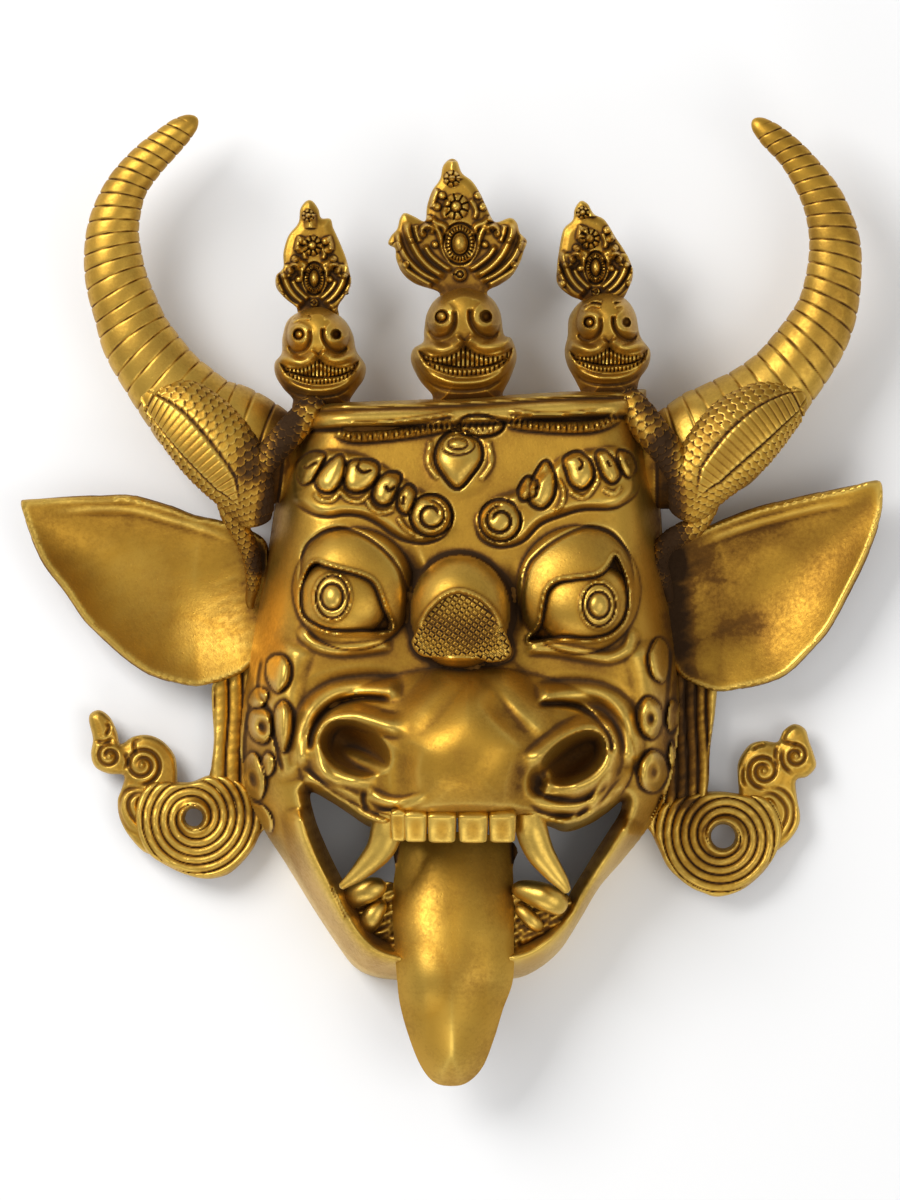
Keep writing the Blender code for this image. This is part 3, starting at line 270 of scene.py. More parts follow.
# %% A grid trimmed to an outline
def trimmed_grid(loop, cell, hole=None):
    low = loop.min(axis=0) - cell
    nx, ny = np.ceil((loop.max(axis=0) + cell - low) / cell).astype(int)
    middles = (low[k] + (np.arange(n) + 0.5) * cell for k, n in enumerate((nx, ny)))
    mx, my = np.meshgrid(*middles, indexing="ij")
    keep = inside(mx, my, loop)
    if hole is not None:
        keep &= ~inside(mx, my, hole)
    for _ in range(4):
        p = np.pad(keep, 1)
        beside = p[2:, 1:-1].astype(int) + p[:-2, 1:-1] + p[1:-1, 2:] + p[1:-1, :-2]
        keep &= beside > 1
        a, b, c, d = keep[:-1, :-1], keep[1:, :-1], keep[:-1, 1:], keep[1:, 1:]
        corner = (a & d & ~b & ~c) | (b & c & ~a & ~d)
        keep[:-1, :-1] &= ~corner
        keep[1:, :-1] &= ~corner
    i, j = np.nonzero(keep)
    ids = i * (ny + 1) + j
    corners = np.column_stack([ids, ids + ny + 1, ids + ny + 2, ids + 1])
    used, quads = np.unique(corners, return_inverse=True)
    quads = quads.reshape(corners.shape)
    spots = np.column_stack([low[0] + used // (ny + 1) * cell, low[1] + used % (ny + 1) * cell])
    return spots, quads


# %% Borders, neighbours and averages
def edges_of(quads):
    ends = np.roll(quads, -1, axis=1)
    return np.vstack([np.column_stack([quads[:, k], ends[:, k]]) for k in range(4)])


def borders(quads):
    """Closed runs of border points, the longest first."""
    e = edges_of(quads)
    many = int(e.max()) + 1
    key = e.min(axis=1) * many + e.max(axis=1)
    _, back, count = np.unique(key, return_inverse=True, return_counts=True)
    follow = {int(a): int(b) for a, b in e[count[back.reshape(-1)] == 1]}
    runs = []
    while follow:
        at = start = next(iter(follow))
        run = []
        while at in follow:
            run.append(at)
            at = follow.pop(at)
        runs.append(np.array(run))
    return sorted(runs, key=len, reverse=True)


def averaged(values, edges, rounds, fixed=None):
    """Each point's value drawn to the mean of its neighbours'."""
    many = len(values)
    a, b = edges.T
    near = np.maximum(np.bincount(a, minlength=many) + np.bincount(b, minlength=many), 1)
    flat = values.reshape(many, -1).astype(float)
    for _ in range(rounds):
        total = np.column_stack([np.bincount(a, flat[b, k], many) + np.bincount(b, flat[a, k], many)
                                 for k in range(flat.shape[1])])
        fresh = 0.5 * flat + 0.5 * total / near[:, None]
        if fixed is not None:
            fresh[fixed] = flat[fixed]
        flat = fresh
    return flat.reshape(values.shape)


def facing(spots, quads):
    """The direction in which each point of a mesh looks."""
    p = spots[quads]
    n = np.cross(p[:, 2] - p[:, 0], p[:, 3] - p[:, 1])
    out = np.zeros(spots.shape)
    for k in range(3):
        out[:, k] = np.bincount(quads.ravel(), np.repeat(n[:, k], 4), len(spots))
    return out / np.maximum(np.linalg.norm(out, axis=1, keepdims=True), 1e-9)


# %% A flat sheet on its outline
def flat_sheet(loop, cell, hole=None):
    spots, quads = trimmed_grid(loop, cell, hole)
    runs = borders(quads)
    edge = np.zeros(len(spots), bool)
    lines = [np.vstack([loop, loop[:1]])] + ([np.vstack([hole, hole[:1]])] if hole is not None else [])
    for run, line in zip(runs, lines):
        length = np.concatenate([[0], np.cumsum(np.hypot(*np.diff(line, axis=0).T))])
        _, share = to_line(spots[run, 0], spots[run, 1], line)
        spots[run] = np.column_stack([np.interp(share * length[-1], length, line[:, k]) for k in (0, 1)])
        edge[run] = True
    return averaged(spots, edges_of(quads), 3, edge), quads, runs[:len(lines)]


# %% The strip between two borders
def strip(front, front_run, back, back_run, line):
    """Triangles from one border to the other, walked side by side."""
    def walk(spots, run):
        _, share = to_line(spots[run, 0], spots[run, 1], line)
        run = np.roll(run, -int(np.argmin(share)))
        step = np.hypot(*np.diff(spots[np.append(run, run[0]), :2], axis=0).T)
        return np.append(run, run[0]), np.concatenate([[0], np.cumsum(step)]) / step.sum()
    a, at_a = walk(front, front_run)
    b, at_b = walk(back, back_run)
    made, i, j = [], 0, 0
    while i < len(a) - 1 or j < len(b) - 1:
        if j == len(b) - 1 or (i < len(a) - 1 and at_a[i + 1] <= at_b[j + 1]):
            made.append((a[i + 1], a[i], b[j] + len(front)))
            i += 1
        else:
            made.append((a[i], b[j] + len(front), b[j + 1] + len(front)))
            j += 1
    return np.array(made)


# %% [markdown]
# Dark hollows and bright edges
#
# Old brass is dark where a cloth can't reach. The shader needs to know those places. Blender has an
# Ambient Occlusion node, but it has to be worked out again at each render, so each mesh carries the
# answer: how far a point lies below the average of its surroundings, at a small and a large scale.
# Below is the darkening value and above the brightening one; the table below adds dirt and painted
# shade to the first, and a painted highlight to the second.

# %% Lines along which the colour is darkened, how far from them and how much
# They hold dirt in crevices, and in places painted shade between parts and on surfaces turned from
# the key light. An amount below zero is a painted highlight.
SOOT_AND_PAINTED_LIGHT = [
    # Left side: dirt and painted shade where the neck meets the horn and brow, then painted shadow in the
    # deep cavity along the face rim behind the hood and tail.
    ([(-166, 197), (-188, 165), (-202, 129)], 28, 1.6),
    ([(-160, 174), (-173, 129), (-185, 79), (-192, 34)], 17, 2.6),
    # Right side, the same: dirt and painted shade beside the neck, and painted shadow in the cavity along the
    # face rim.
    ([(200, 197), (216, 167)], 24, 1.5), ([(207, 149), (216, 99), (218, 44)], 24, 2.6),
    # Dirt and painted shade along the tails, where they lie over the ear roots.
    ([(-220, 79), (-206, 39), (-200, -16)], 16, 0.6), ([(236, 59), (220, 9), (232, -46)], 34, 0.6),
    # Painted shade over the right ear, which is turned from the key light, and a painted highlight over the
    # left ear, which faces it (the one negative amount).
    ([(260, 37), (288, 54), (323, 71)], 28, 0.3), ([(281, -33), (305, -23)], 28, 0.5),
    ([(250, 43), (270, 3)], 34, 0.3), ([(-362, 54), (-262, -26)], 100, -0.45),
    # Dirt and painted shade down the flanges, more on the right, away from the key light.
    ([(-230, -91), (-216, -141), (-220, -201)], 18, 0.7),
    ([(244, -91), (248, -141), (238, -211)], 28, 1.3),
    ([(-162, 198), (-52, 201), (68, 204), (193, 211)], 8, 1.1),
    ([(-167, 215), (-134, 201), (-97, 211)], 15, 0.8), ([(-28, 214), (12, 201), (52, 215)], 15, 0.7),
    ([(123, 221), (154, 207), (188, 219)], 15, 0.8), ([(-160, 297), (-134, 289), (-110, 297)], 12, 0.8),
    ([(-27, 312), (10, 307), (48, 313)], 12, 0.7), ([(120, 306), (150, 301), (172, 308)], 12, 0.8),
    # Dirt and painted shade down the face's edge beside the ears and flanges, more on the right, away from
    # the key light.
    ([(222, 29), (228, -81), (225, -191)], 24, 1.8), ([(-202, -61), (-210, -141), (-196, -216)], 16, 0.9),
    ([(-146, -201), (-136, -241), (-121, -275), (-102, -309), (-76, -341)], 10, 1.0),
    ([(172, -213), (154, -247), (137, -279), (116, -315), (88, -341)], 10, 1.0),
    ([(-90, -301), (-72, -346)], 26, 1.0), ([(93, -306), (76, -346)], 26, 1.0),
    # Painted shade on the nose's upturned top, which would otherwise mirror the bright dome.
    ([(-12, -141), (48, -166)], 64, 0.3),
    ([(-144, -176), (-107, -207), (-60, -217)], 15, 0.5), ([(76, -203), (138, -201), (170, -179)], 14, 0.5),
    ([(238, -231), (248, -269), (278, -287)], 22, 0.5), ([(-14, -31), (32, -33)], 36, 0.9),
    # Brown tone along both horns, with more on the right as painted shade.
    ([(-337, 269), (-360, 329), (-347, 399), (-302, 459)], 40, 0.25),
    ([(338, 249), (396, 309), (388, 389), (328, 459)], 44, 0.35),
    ([(-44, 43), (-36, 9), (-40, -31)], 13, 0.4), ([(52, 29), (60, -6), (64, -41)], 13, 0.4),
    ([(-152, 181), (8, 189), (188, 194)], 24, 0.45), ([(-20, 337), (8, 325), (36, 337)], 24, 0.35),
    ([(-160, 309), (-136, 301), (-114, 311)], 20, 0.35), ([(122, 319), (146, 311), (166, 321)], 20, 0.35),
    # Painted shade on the upturned planes under the knob and above the nostril wings.
    ([(18, -56), (-12, -69)], 34, 0.25), ([(-72, -61), (-142, -73)], 26, 0.3),
    ([(88, -66), (168, -81)], 26, 0.35)]


# %% Measuring hollows
def hollows(spots, quads):
    way = facing(spots, quads)
    edges = edges_of(quads)
    below = np.zeros(len(spots))
    eased = spots
    for rounds, reach in ((3, 0.35), (9, 0.9), (36, 2.6)):
        eased = averaged(eased, edges, rounds)
        below += np.clip(np.einsum("ij,ij->i", eased - spots, way) * SQUARE * 1000 / reach, -1, 1)
    return below


def add_values(mesh, name, values):
    layer = mesh.attributes.new(name, "FLOAT", "POINT")
    layer.data.foreach_set("value", values.astype(np.float32))


# %% From points to an object
pieces = []


def piece(name, spots, faces, dark):
    """Faces come in groups, each of quads or of triangles."""
    mesh = bpy.data.meshes.new(name)
    # Along the table's lines the darkening grows: dirt, and in places painted shade; the one negative line
    # paints a highlight.
    for path, width, amount in SOOT_AND_PAINTED_LIGHT:
        away, _ = to_line(spots[:, 0], spots[:, 1], smooth_line(path, steps=3))
        dark = dark + amount * soft(away / width) * (0.85 + 0.2 * rough(spots[:, 0], spots[:, 1], 13))
    placed = spots * SQUARE + ORIGIN
    placed[:, 2] = np.maximum(placed[:, 2], 0)
    mesh.from_pydata(placed.tolist(), [], [f.tolist() for group in faces for f in group])
    # The first value is patina with painted shade, the second rubbed wear with a painted highlight.
    add_values(mesh, "grime", np.clip(dark, 0, 3))
    add_values(mesh, "wear", np.clip(-dark, 0, 3))
    mesh.shade_smooth()
    mesh.set_sharp_from_angle(angle=math.radians(50))
    made = bpy.data.objects.new(name, mesh)
    bpy.context.scene.collection.objects.link(made)
    pieces.append(made)
    print(name, "of", sum(len(group) * (group.shape[1] - 2) for group in faces), "triangles")


# %% A carved plate
def carved(outline, cell, hole, carve):
    flat, quads, runs = flat_sheet(outline, cell, hole)
    clay = Clay(flat[:, 0], flat[:, 1], np.zeros(len(flat)))
    carve(clay)
    return np.column_stack([flat, clay.z]), quads, runs


def plate(name, outline, carve, wall, cell, back_cell, hole=None, rests=False):
    """A thin wall: the carved front, a plainer back a wall's thickness behind, and the edge between them."""
    front, quads, runs = carved(outline, cell, hole, carve)
    raised, rear_quads, rear_runs = carved(outline, back_cell, hole, carve)
    edge = np.zeros(len(raised), bool)
    edge[np.concatenate(rear_runs)] = True
    eased = averaged(raised, edges_of(rear_quads), 2, edge)
    way = facing(eased, rear_quads)
    spare = np.clip(eased[:, 2] - raised[:, 2], 0, None)
    rear = eased - way * (wall / SQUARE + spare)[:, None]
    if rests:
        rim = np.zeros(len(rear), bool)
        rim[rear_runs[0]] = True
        aside = way[:, :2] / np.maximum(np.hypot(way[:, 0], way[:, 1]), 1e-6)[:, None]
        rear[rim] = np.column_stack([raised[rim, :2] - aside[rim] * wall / SQUARE, np.zeros(rim.sum())])
        front[runs[0], 2] = 0
        rear[:, 2] = np.maximum(rear[:, 2], 0.5)
        rear[rim, 2] = 0
    joins = [strip(front, a, raised, b, line) for a, b, line in zip(runs, rear_runs, (outline, hole))]
    dark = np.concatenate([hollows(front, quads), np.full(len(rear), 0.9)])
    piece(name, np.vstack([front, rear]), [quads, rear_quads[:, ::-1] + len(front)] + joins, dark)


# %% [markdown]
# Round bars
#
# Horns, snakes and teeth are bars whose thickness changes along a bent line. A curve object with a
# bevel gives a plain one, but rings, scales and plates have to follow its skin, so the bar is made of
# rings of points, and a `relief` says how far each point stands out, by its share of the length and its
# angle round the bar.

# %% A bar along a line
def bar(name, path, around, along, flat=1.0, relief=None, blunt=0.02, square=2):
    """path holds x, y, z and radius; flat is the bar's depth as a share of its width, and square above 2
    makes its section boxy."""
    line = smooth_line(path, steps=12)
    run = np.concatenate([[0], np.cumsum(np.linalg.norm(np.diff(line[:, :3], axis=0), axis=1))])
    angles = np.arange(around) * 2 * math.pi / around
    share, angle = (part.ravel() for part in np.meshgrid(np.linspace(0, 1, along), angles, indexing="ij"))

    def at(s):
        return np.column_stack([np.interp(s * run[-1], run, line[:, k]) for k in range(4)])
    place = at(share)
    way = at(np.clip(share + 0.01, 0, 1))[:, :3] - at(np.clip(share - 0.01, 0, 1))[:, :3]
    way /= np.linalg.norm(way, axis=1, keepdims=True)
    side = np.cross(way, (0, 0, 1))
    side /= np.linalg.norm(side, axis=1, keepdims=True)
    up = np.cross(side, way)
    boxy = (np.abs(np.cos(angle)) ** square + np.abs(np.sin(angle)) ** square) ** (-1 / square)
    radius = place[:, 3] * boxy + (relief(share, angle) if relief else 0)
    for end in (share, 1 - share):
        radius = radius * np.sqrt(np.clip(1 - np.clip(1 - end / blunt, 0, 1) ** 2, 0, 1) + 1e-4)
    shell = place[:, :3] + side * (radius * np.cos(angle))[:, None]
    shell += up * (flat * radius * np.sin(angle))[:, None]
    k = np.arange((along - 1) * around)
    after = k - k % around + (k + 1) % around
    quads = np.column_stack([k, after, after + around, k + around])
    first = np.arange(around)
    last = first + (along - 1) * around
    caps = np.vstack([np.column_stack([np.roll(first, -1), first, np.full(around, len(shell))]),
                      np.column_stack([last, np.roll(last, -1), np.full(around, len(shell) + 1)])])
    spots = np.vstack([shell, shell[first].mean(axis=0), shell[last].mean(axis=0)])
    p = spots[quads]
    if np.einsum("ij,ij->i", p[:, 0], np.cross(p[:, 1], p[:, 2])).sum() < 0:
        quads, caps = quads[:, ::-1], caps[:, ::-1]
    piece(name, spots, [quads, caps], np.append(hollows(shell, quads), (0.0, 0.0)))


# %% [markdown]
# The face
#
# The face is the largest plate. Its rim is the edge that lies on the wall, and its middle line is a
# plain profile from the brow to the chin, to which the carving adds the knob and the nose. The mouth is
# a real opening: what lies behind shows through it at both sides of the tongue.

# %% Rim, profile and mouth
# The rim that lies on the wall, from the left end of the crown band down round the jaw to its right end.
JAW_LINE = [
    (-149, 198), (-163, 159), (-176, 109), (-185, 54), (-195, -1), (-204, -51), (-211, -101),
    (-214, -151), (-207, -196), (-190, -233), (-168, -267), (-141, -311), (-116, -349), (-99, -371),
    (-80, -381), (-52, -385), (3, -387), (58, -384), (83, -376), (108, -356), (128, -326), (149, -291),
    (173, -263), (197, -232), (216, -198), (226, -156), (230, -111), (227, -61), (220, -11), (214, 39),
    (211, 89), (205, 134), (198, 174), (196, 212)]
BAND_TOP = [(108, 209), (8, 203), (-72, 200)]
# Height of the face along its middle line, and how far in from the rim it is rounded, as (row, amount).
SPINE = [(-420, 84), (-386, 92), (-340, 108), (-280, 122), (-200, 140), (-100, 150), (0, 148), (80, 142),
         (130, 136), (180, 126), (200, 118)]
EDGE_ROUND = [(-400, 50), (-300, 60), (-200, 72), (-80, 78), (40, 74), (120, 62), (200, 52)]
MOUTH = [
    (-141, -194), (-122, -202), (-102, -215), (-84, -227), (-66, -231), (-42, -222), (3, -218), (53, -219),
    (93, -226), (114, -233), (138, -225), (155, -214), (169, -203), (168, -214), (157, -232), (145, -251),
    (133, -271), (122, -289), (108, -313), (86, -333), (63, -345), (3, -351), (-54, -345), (-78, -331),
    (-93, -310), (-105, -290), (-117, -267), (-128, -243), (-137, -219)]
NOSE = [
    (22, -47), (-2, -63), (-24, -85), (-50, -105), (-76, -121), (-78, -143), (-68, -171), (-60, -201),
    (-56, -233), (68, -233), (78, -201), (91, -171), (110, -145), (91, -113), (66, -85), (46, -63)]
LIP_BAND, LIP_ROLL = 15, 34  # width and fall of the edge that rolls back into the mouth


TOP_LINE = smooth_line([JAW_LINE[-1]] + BAND_TOP + [JAW_LINE[0]])


def base(x, y):
    """The plain face before it is carved: how high it stands off the wall."""
    side, _ = to_line(x, y, smooth_line(JAW_LINE))
    top, _ = to_line(x, y, TOP_LINE)
    reach = np.interp(y, *np.array(EDGE_ROUND).T)
    flank = (1 - (1 - np.clip(side / reach, 0, 1)) ** 2.4) ** 0.5
    return np.interp(y, *smooth_line(SPINE).T) * flank * (1 - (1 - np.clip(top / 10, 0, 1)) ** 2.4) ** 0.5


# %% [markdown]
# Carving the face
#
# Each part of the face is a function of strokes, from the brow down. The order matters only where a
# stroke replaces what is below it, as the knob between the eyes does, and so that one is carved late.

# %% Brows
def brows(c):
    c.pad([(-164, 129), (-162, 99), (-150, 90), (-136, 83), (-122, 81), (-106, 83), (-89, 81), (-73, 73),
           (-59, 63), (-45, 56), (-26, 54), (-6, 62), (1, 82), (-6, 100), (-22, 105), (-37, 113),
           (-60, 129), (-90, 145), (-134, 149)], 8, 9)
    c.pad([(22, 81), (26, 61), (38, 53), (52, 50), (71, 56), (88, 73), (106, 81), (130, 88),
           (158, 89), (173, 94), (186, 105), (188, 122), (180, 139), (163, 153), (138, 150), (110, 144),
           (88, 125), (63, 109), (38, 100)], 8, 9)
    lines(c, 3, -1.6,
          [(-163, 100), (-151, 91), (-137, 84), (-122, 82), (-106, 84), (-89, 82), (-73, 74), (-59, 64),
           (-45, 58), (-26, 56), (-8, 64), (0, 82), (-6, 98)],
          [(23, 83), (27, 63), (38, 54), (52, 52), (71, 58), (88, 74), (106, 82), (130, 89),
           (158, 90), (173, 96), (185, 107), (187, 124)])
    tufts = [
        [(-141, 146), (-153, 137), (-155, 124), (-149, 115), (-139, 119), (-131, 133), (-127, 144)],
        [(-111, 143), (-127, 132), (-136, 119), (-131, 109), (-121, 107), (-112, 115), (-107, 129)],
        [(-100, 137), (-107, 122), (-104, 110), (-94, 107), (-82, 112), (-74, 124), (-77, 136)],
        [(-64, 125), (-75, 116), (-78, 102), (-71, 94), (-61, 97), (-55, 110), (-52, 123)],
        [(-44, 113), (-52, 105), (-53, 91), (-45, 85), (-39, 95), (-37, 107)],
        [(70, 115), (67, 106), (71, 99), (82, 104), (83, 115), (76, 121)],
        [(94, 137), (84, 125), (78, 109), (79, 96), (90, 91), (100, 102), (102, 121)],
        [(112, 139), (115, 126), (119, 115), (130, 110), (140, 121), (138, 136), (125, 146)],
        [(144, 144), (148, 129), (154, 119), (161, 116), (167, 124), (162, 137), (152, 147)],
        [(166, 147), (168, 132), (176, 122), (183, 131), (178, 144)]]
    for outline in tufts:
        pellet(c, outline, 10, 11, 2.4)
    lines(c, 3.4, 4,
          [(-138, 106), (-130, 99), (-119, 99), (-110, 110)],
          [(-114, 111), (-104, 100), (-91, 98), (-81, 107)],
          [(-85, 100), (-80, 91), (-70, 86), (-57, 90)], [(-54, 82), (-47, 71), (-36, 63)],
          [(104, 121), (111, 108), (109, 94), (101, 86)], [(116, 108), (131, 101), (143, 114), (146, 124)],
          [(150, 110), (161, 105), (169, 112)])
    lines(c, 2.4, -4.5,
          [(-149, 134), (-145, 131), (-134, 137)], [(-90, 140), (-94, 131), (-88, 126), (-79, 129)],
          [(-66, 114), (-63, 108), (-56, 112)], [(-48, 103), (-49, 94)],
          [(78, 108), (86, 112), (84, 120)], [(125, 142), (130, 134), (126, 128)],
          [(154, 138), (158, 131)], [(173, 139), (177, 132)])
    for at, start, way in (((-21, 83), 150, -1), ((48, 78), 30, 1)):
        c.mound(at, 25, 25, 5)
        c.mound(at, 20, 20, 7, form=lambda r: np.sqrt(np.clip(1 - r**4, 0, 1)))
        c.coil(at, 21, way * 1.05, start, 2.6, -4.5, shrink=0.95)
        c.coil(at, 15, way * 1.35, start + 40 * way, 2.6, -5, shrink=0.45)


# %% Eyes
def eye(c, lid_at, lid_size, opening, ball_at, ball_size, iris_at, crease, lower):
    c.mound(lid_at, lid_size[0] + 4, lid_size[1] + 4, 26, 0, lambda r: np.clip(1 - r**3, 0, 1) ** 0.8)
    c.ridge(crease, 3.2, -3.5)
    loop = smooth_line(opening, closed=True)
    i = c.near(loop, 6)
    d = depth_in(c.x[i], c.y[i], loop)
    r = np.hypot((c.x[i] - ball_at[0]) / ball_size[0], (c.y[i] - ball_at[1]) / ball_size[1])
    c.z[i] += ease(d / 3) * (20 * dome(r) - 18) - 3.5 * soft((d - 1.5) / 3)
    c.ridge(opening, 4, 3.5, closed=True)
    c.ridge(lower, 8, 6)
    ring(c, iris_at, 18.4, 23.4, 2.2, 2.6)
    ring(c, iris_at, 16, 21, 1.8, -1.6)
    ring(c, iris_at, 11, 13, 1.9, -2.6)
    c.mound(iris_at, 9, 11, 4.5, form=dome)


def eyes(c):
    eye(c, (-98, 10), (57, 57),
        [(-137, 37), (-125, 34), (-111, 30), (-89, 24), (-76, 15), (-67, -7), (-60, -31), (-94, -34),
         (-120, -33), (-137, -27), (-150, -15), (-152, 7), (-146, 27)],
        (-114, -3), (50, 40), (-119, 2),
        [(-152, -1), (-148, 46), (-134, 63), (-115, 70), (-94, 66), (-73, 53), (-56, 35), (-47, 16),
         (-43, -6), (-45, -27)],
        [(-152, -27), (-141, -42), (-120, -50), (-94, -50), (-59, -45)])
    c.ridge([(-50, 59), (-37, 14), (-39, -41)], 15, -12, taper=0.45)
    eye(c, (126, 9), (58, 60),
        [(162, 44), (154, 32), (142, 24), (121, 21), (104, 18), (94, 9), (90, -6), (86, -26),
         (76, -42), (111, -40), (137, -41), (158, -36), (172, -22), (177, -3), (175, 18), (169, 34)],
        (136, -7), (52, 42), (146, -6),
        [(69, -31), (69, -1), (75, 30), (85, 44), (106, 60), (132, 71), (154, 68), (168, 56),
         (178, 37), (183, 7)],
        [(71, -49), (99, -50), (135, -56), (158, -58), (175, -49), (184, -29)])
    c.ridge([(51, 43), (59, -1), (67, -49)], 15, -11, taper=0.45)


def third_eye(c):
    c.mound((6, 136), 38, 38, 7)
    pellet(c, [(6, 168), (-10, 159), (-16, 141), (-9, 125), (5, 111), (19, 124), (29, 141), (25, 158)],
           8, 12, 3.5)
    lines(c, 3.5, 3, [(-21, 159), (-24, 136), (-14, 119)], [(36, 159), (39, 136), (28, 118)])
    ring(c, (6, 154), 17, 10.5, 2, -2.4)
    ring(c, (6, 155), 10, 6, 1.8, -2.2)
    c.mound((6, 155), 7, 4, 2.5, form=dome)
    pellet(c, [(10, 166), (10, 178), (23, 182), (40, 180), (51, 175), (44, 166), (26, 163)], 7, 6, 3)
    lines(c, 1.8, -2.2, *[[(14 + 6 * k, 178), (12 + 6 * k, 172), (17 + 5 * k, 165)] for k in range(6)])


# %% Crown band and knob
def band(c):
    """The crown band: a lip, a round roll and a twisted cord hung in two swags."""
    top = smooth_line([(188, 212)] + BAND_TOP + [(-142, 198)])
    i = c.near(top, 40)
    d, _ = to_line(c.x[i], c.y[i], top)
    c.z[i] += 12 * ease((32 - d) / 8)
    c.z[i] += 4 * soft((d - 4) / 5) - 5 * soft((d - 10) / 4) + 5 * soft((d - 18) / 9) - 5 * soft((d - 29) / 4)
    for line, count in (([(-118, 169), (-100, 162), (-72, 163), (-32, 168), (8, 176)], 24),
                        ([(51, 179), (73, 174), (118, 171), (148, 174), (170, 185)], 22)):
        c.ridge(line, 6, 4, form=dome)
        c.ridge(line, 5, 7, beads=count, form=dome)
    lines(c, 3, 4, [(-106, 175), (-72, 175), (-28, 180), (4, 186)], [(56, 188), (96, 183), (148, 187)])


KNOB_FRONT = smooth_line([
    (-40, -44), (-36, -33), (-26, -14), (-12, 1), (3, 8), (17, 6), (33, -3), (47, -21),
    (59, -49), (54, -60), (38, -63), (26, -60), (-7, -59), (-31, -56)], steps=6, closed=True)


def knob_front(x, y):
    x, y = x - 8, y + 33
    return 193 + 0.16 * y - 0.0045 * x * x - 0.004 * np.clip(-y - 12, 0, 99) ** 2


def knob(c):
    """The ball between the eyes; its flat lower front is a plate of its own."""
    c.swell((8, -13), 50, 57, 206, 56, blend=9, power=2.3)
    i = c.near([(7, -33)], 52)
    d = depth_in(c.x[i], c.y[i], KNOB_FRONT)
    c.z[i] += ease(d / 5) * (knob_front(c.x[i], c.y[i]) - c.z[i])
    c.ridge(np.vstack([KNOB_FRONT, KNOB_FRONT[:1]])[::3], 3.4, 3.5)


# %% Nose and nostrils
def muzzle(c):
    c.swell((14, -158), 168, 92, 184, 72, blend=24, power=2.6)
    c.mound((-100, -91), 62, 26, -12, 8)
    c.mound((132, -99), 58, 26, -12, -10)
    c.mound((14, -143), 110, 92, 12)
    cushion(c, NOSE, 31, 50, 24)
    c.mound((20, -153), 78, 60, 4)
    c.ridge([(22, -49), (2, -69), (-18, -93), (-39, -116), (-62, -125)], 20, 8, taper=0.35)
    c.ridge([(22, -49), (45, -69), (68, -97), (90, -125), (112, -137)], 19, 8, taper=0.35)
    c.ridge([(32, -91), (54, -117), (88, -147)], 15, -7, taper=0.4)
    c.ridge([(-40, -136), (-48, -171), (-42, -206)], 16, -5, taper=0.4)
    c.ridge([(78, -153), (68, -181), (66, -207)], 15, -5, taper=0.4)
    c.ridge([(-40, -124), (-61, -125), (-80, -120), (-100, -115), (-119, -119), (-131, -134), (-133, -153),
             (-125, -169), (-108, -179), (-88, -182), (-70, -177)], 14, 16, taper=0.15)
    c.mound((-97, -148), 40, 25, -38, -27, bowl)
    c.mound((-86, -161), 28, 10, 11, -25)
    c.ridge([(64, -169), (80, -162), (98, -148), (116, -135), (134, -128), (150, -132), (157, -147),
             (154, -165), (140, -180), (118, -188), (96, -186)], 15, 18, taper=0.15)
    c.mound((121, -158), 38, 24, -34, 32, bowl)
    c.mound((85, -181), 13, 20, -15, -10)
    c.ridge([(-48, -90), (-89, -89), (-120, -95), (-141, -113), (-149, -141), (-148, -171)], 14, 14)
    c.ridge([(-60, -100), (-80, -98), (-96, -99), (-115, -105), (-130, -117), (-139, -134), (-141, -153)],
            5, -9)
    c.ridge([(82, -97), (116, -93), (149, -97), (170, -113), (179, -139), (177, -169)], 14, 14)
    c.ridge([(83, -105), (107, -104), (126, -108), (142, -119), (156, -137), (159, -157)], 5, -9)
    lines(c, 8, 8, [(-152, -169), (-130, -191), (-100, -210), (-67, -224), (-32, -223)],
          [(-139, -159), (-117, -185), (-86, -201)], [(-90, -189), (-67, -201), (-47, -203), (-22, -195)],
          [(172, -179), (154, -204), (124, -221), (78, -223)],
          [(156, -185), (138, -203), (108, -207), (76, -199)],
          [(166, -169), (148, -191), (134, -213)], taper=0.3)
    lines(c, 4.6, -3.4, [(-153, -162), (-132, -179), (-106, -188), (-84, -195)],
          [(-86, -187), (-88, -201), (-82, -213)],
          [(-80, -207), (-61, -208), (-30, -197)], [(-142, -179), (-120, -199), (-90, -214)],
          [(74, -203), (95, -214), (123, -216)], [(120, -230), (128, -213), (147, -194), (157, -173)],
          [(136, -223), (154, -203), (170, -183)], [(76, -185), (96, -197), (123, -198)],
          taper=0.3)


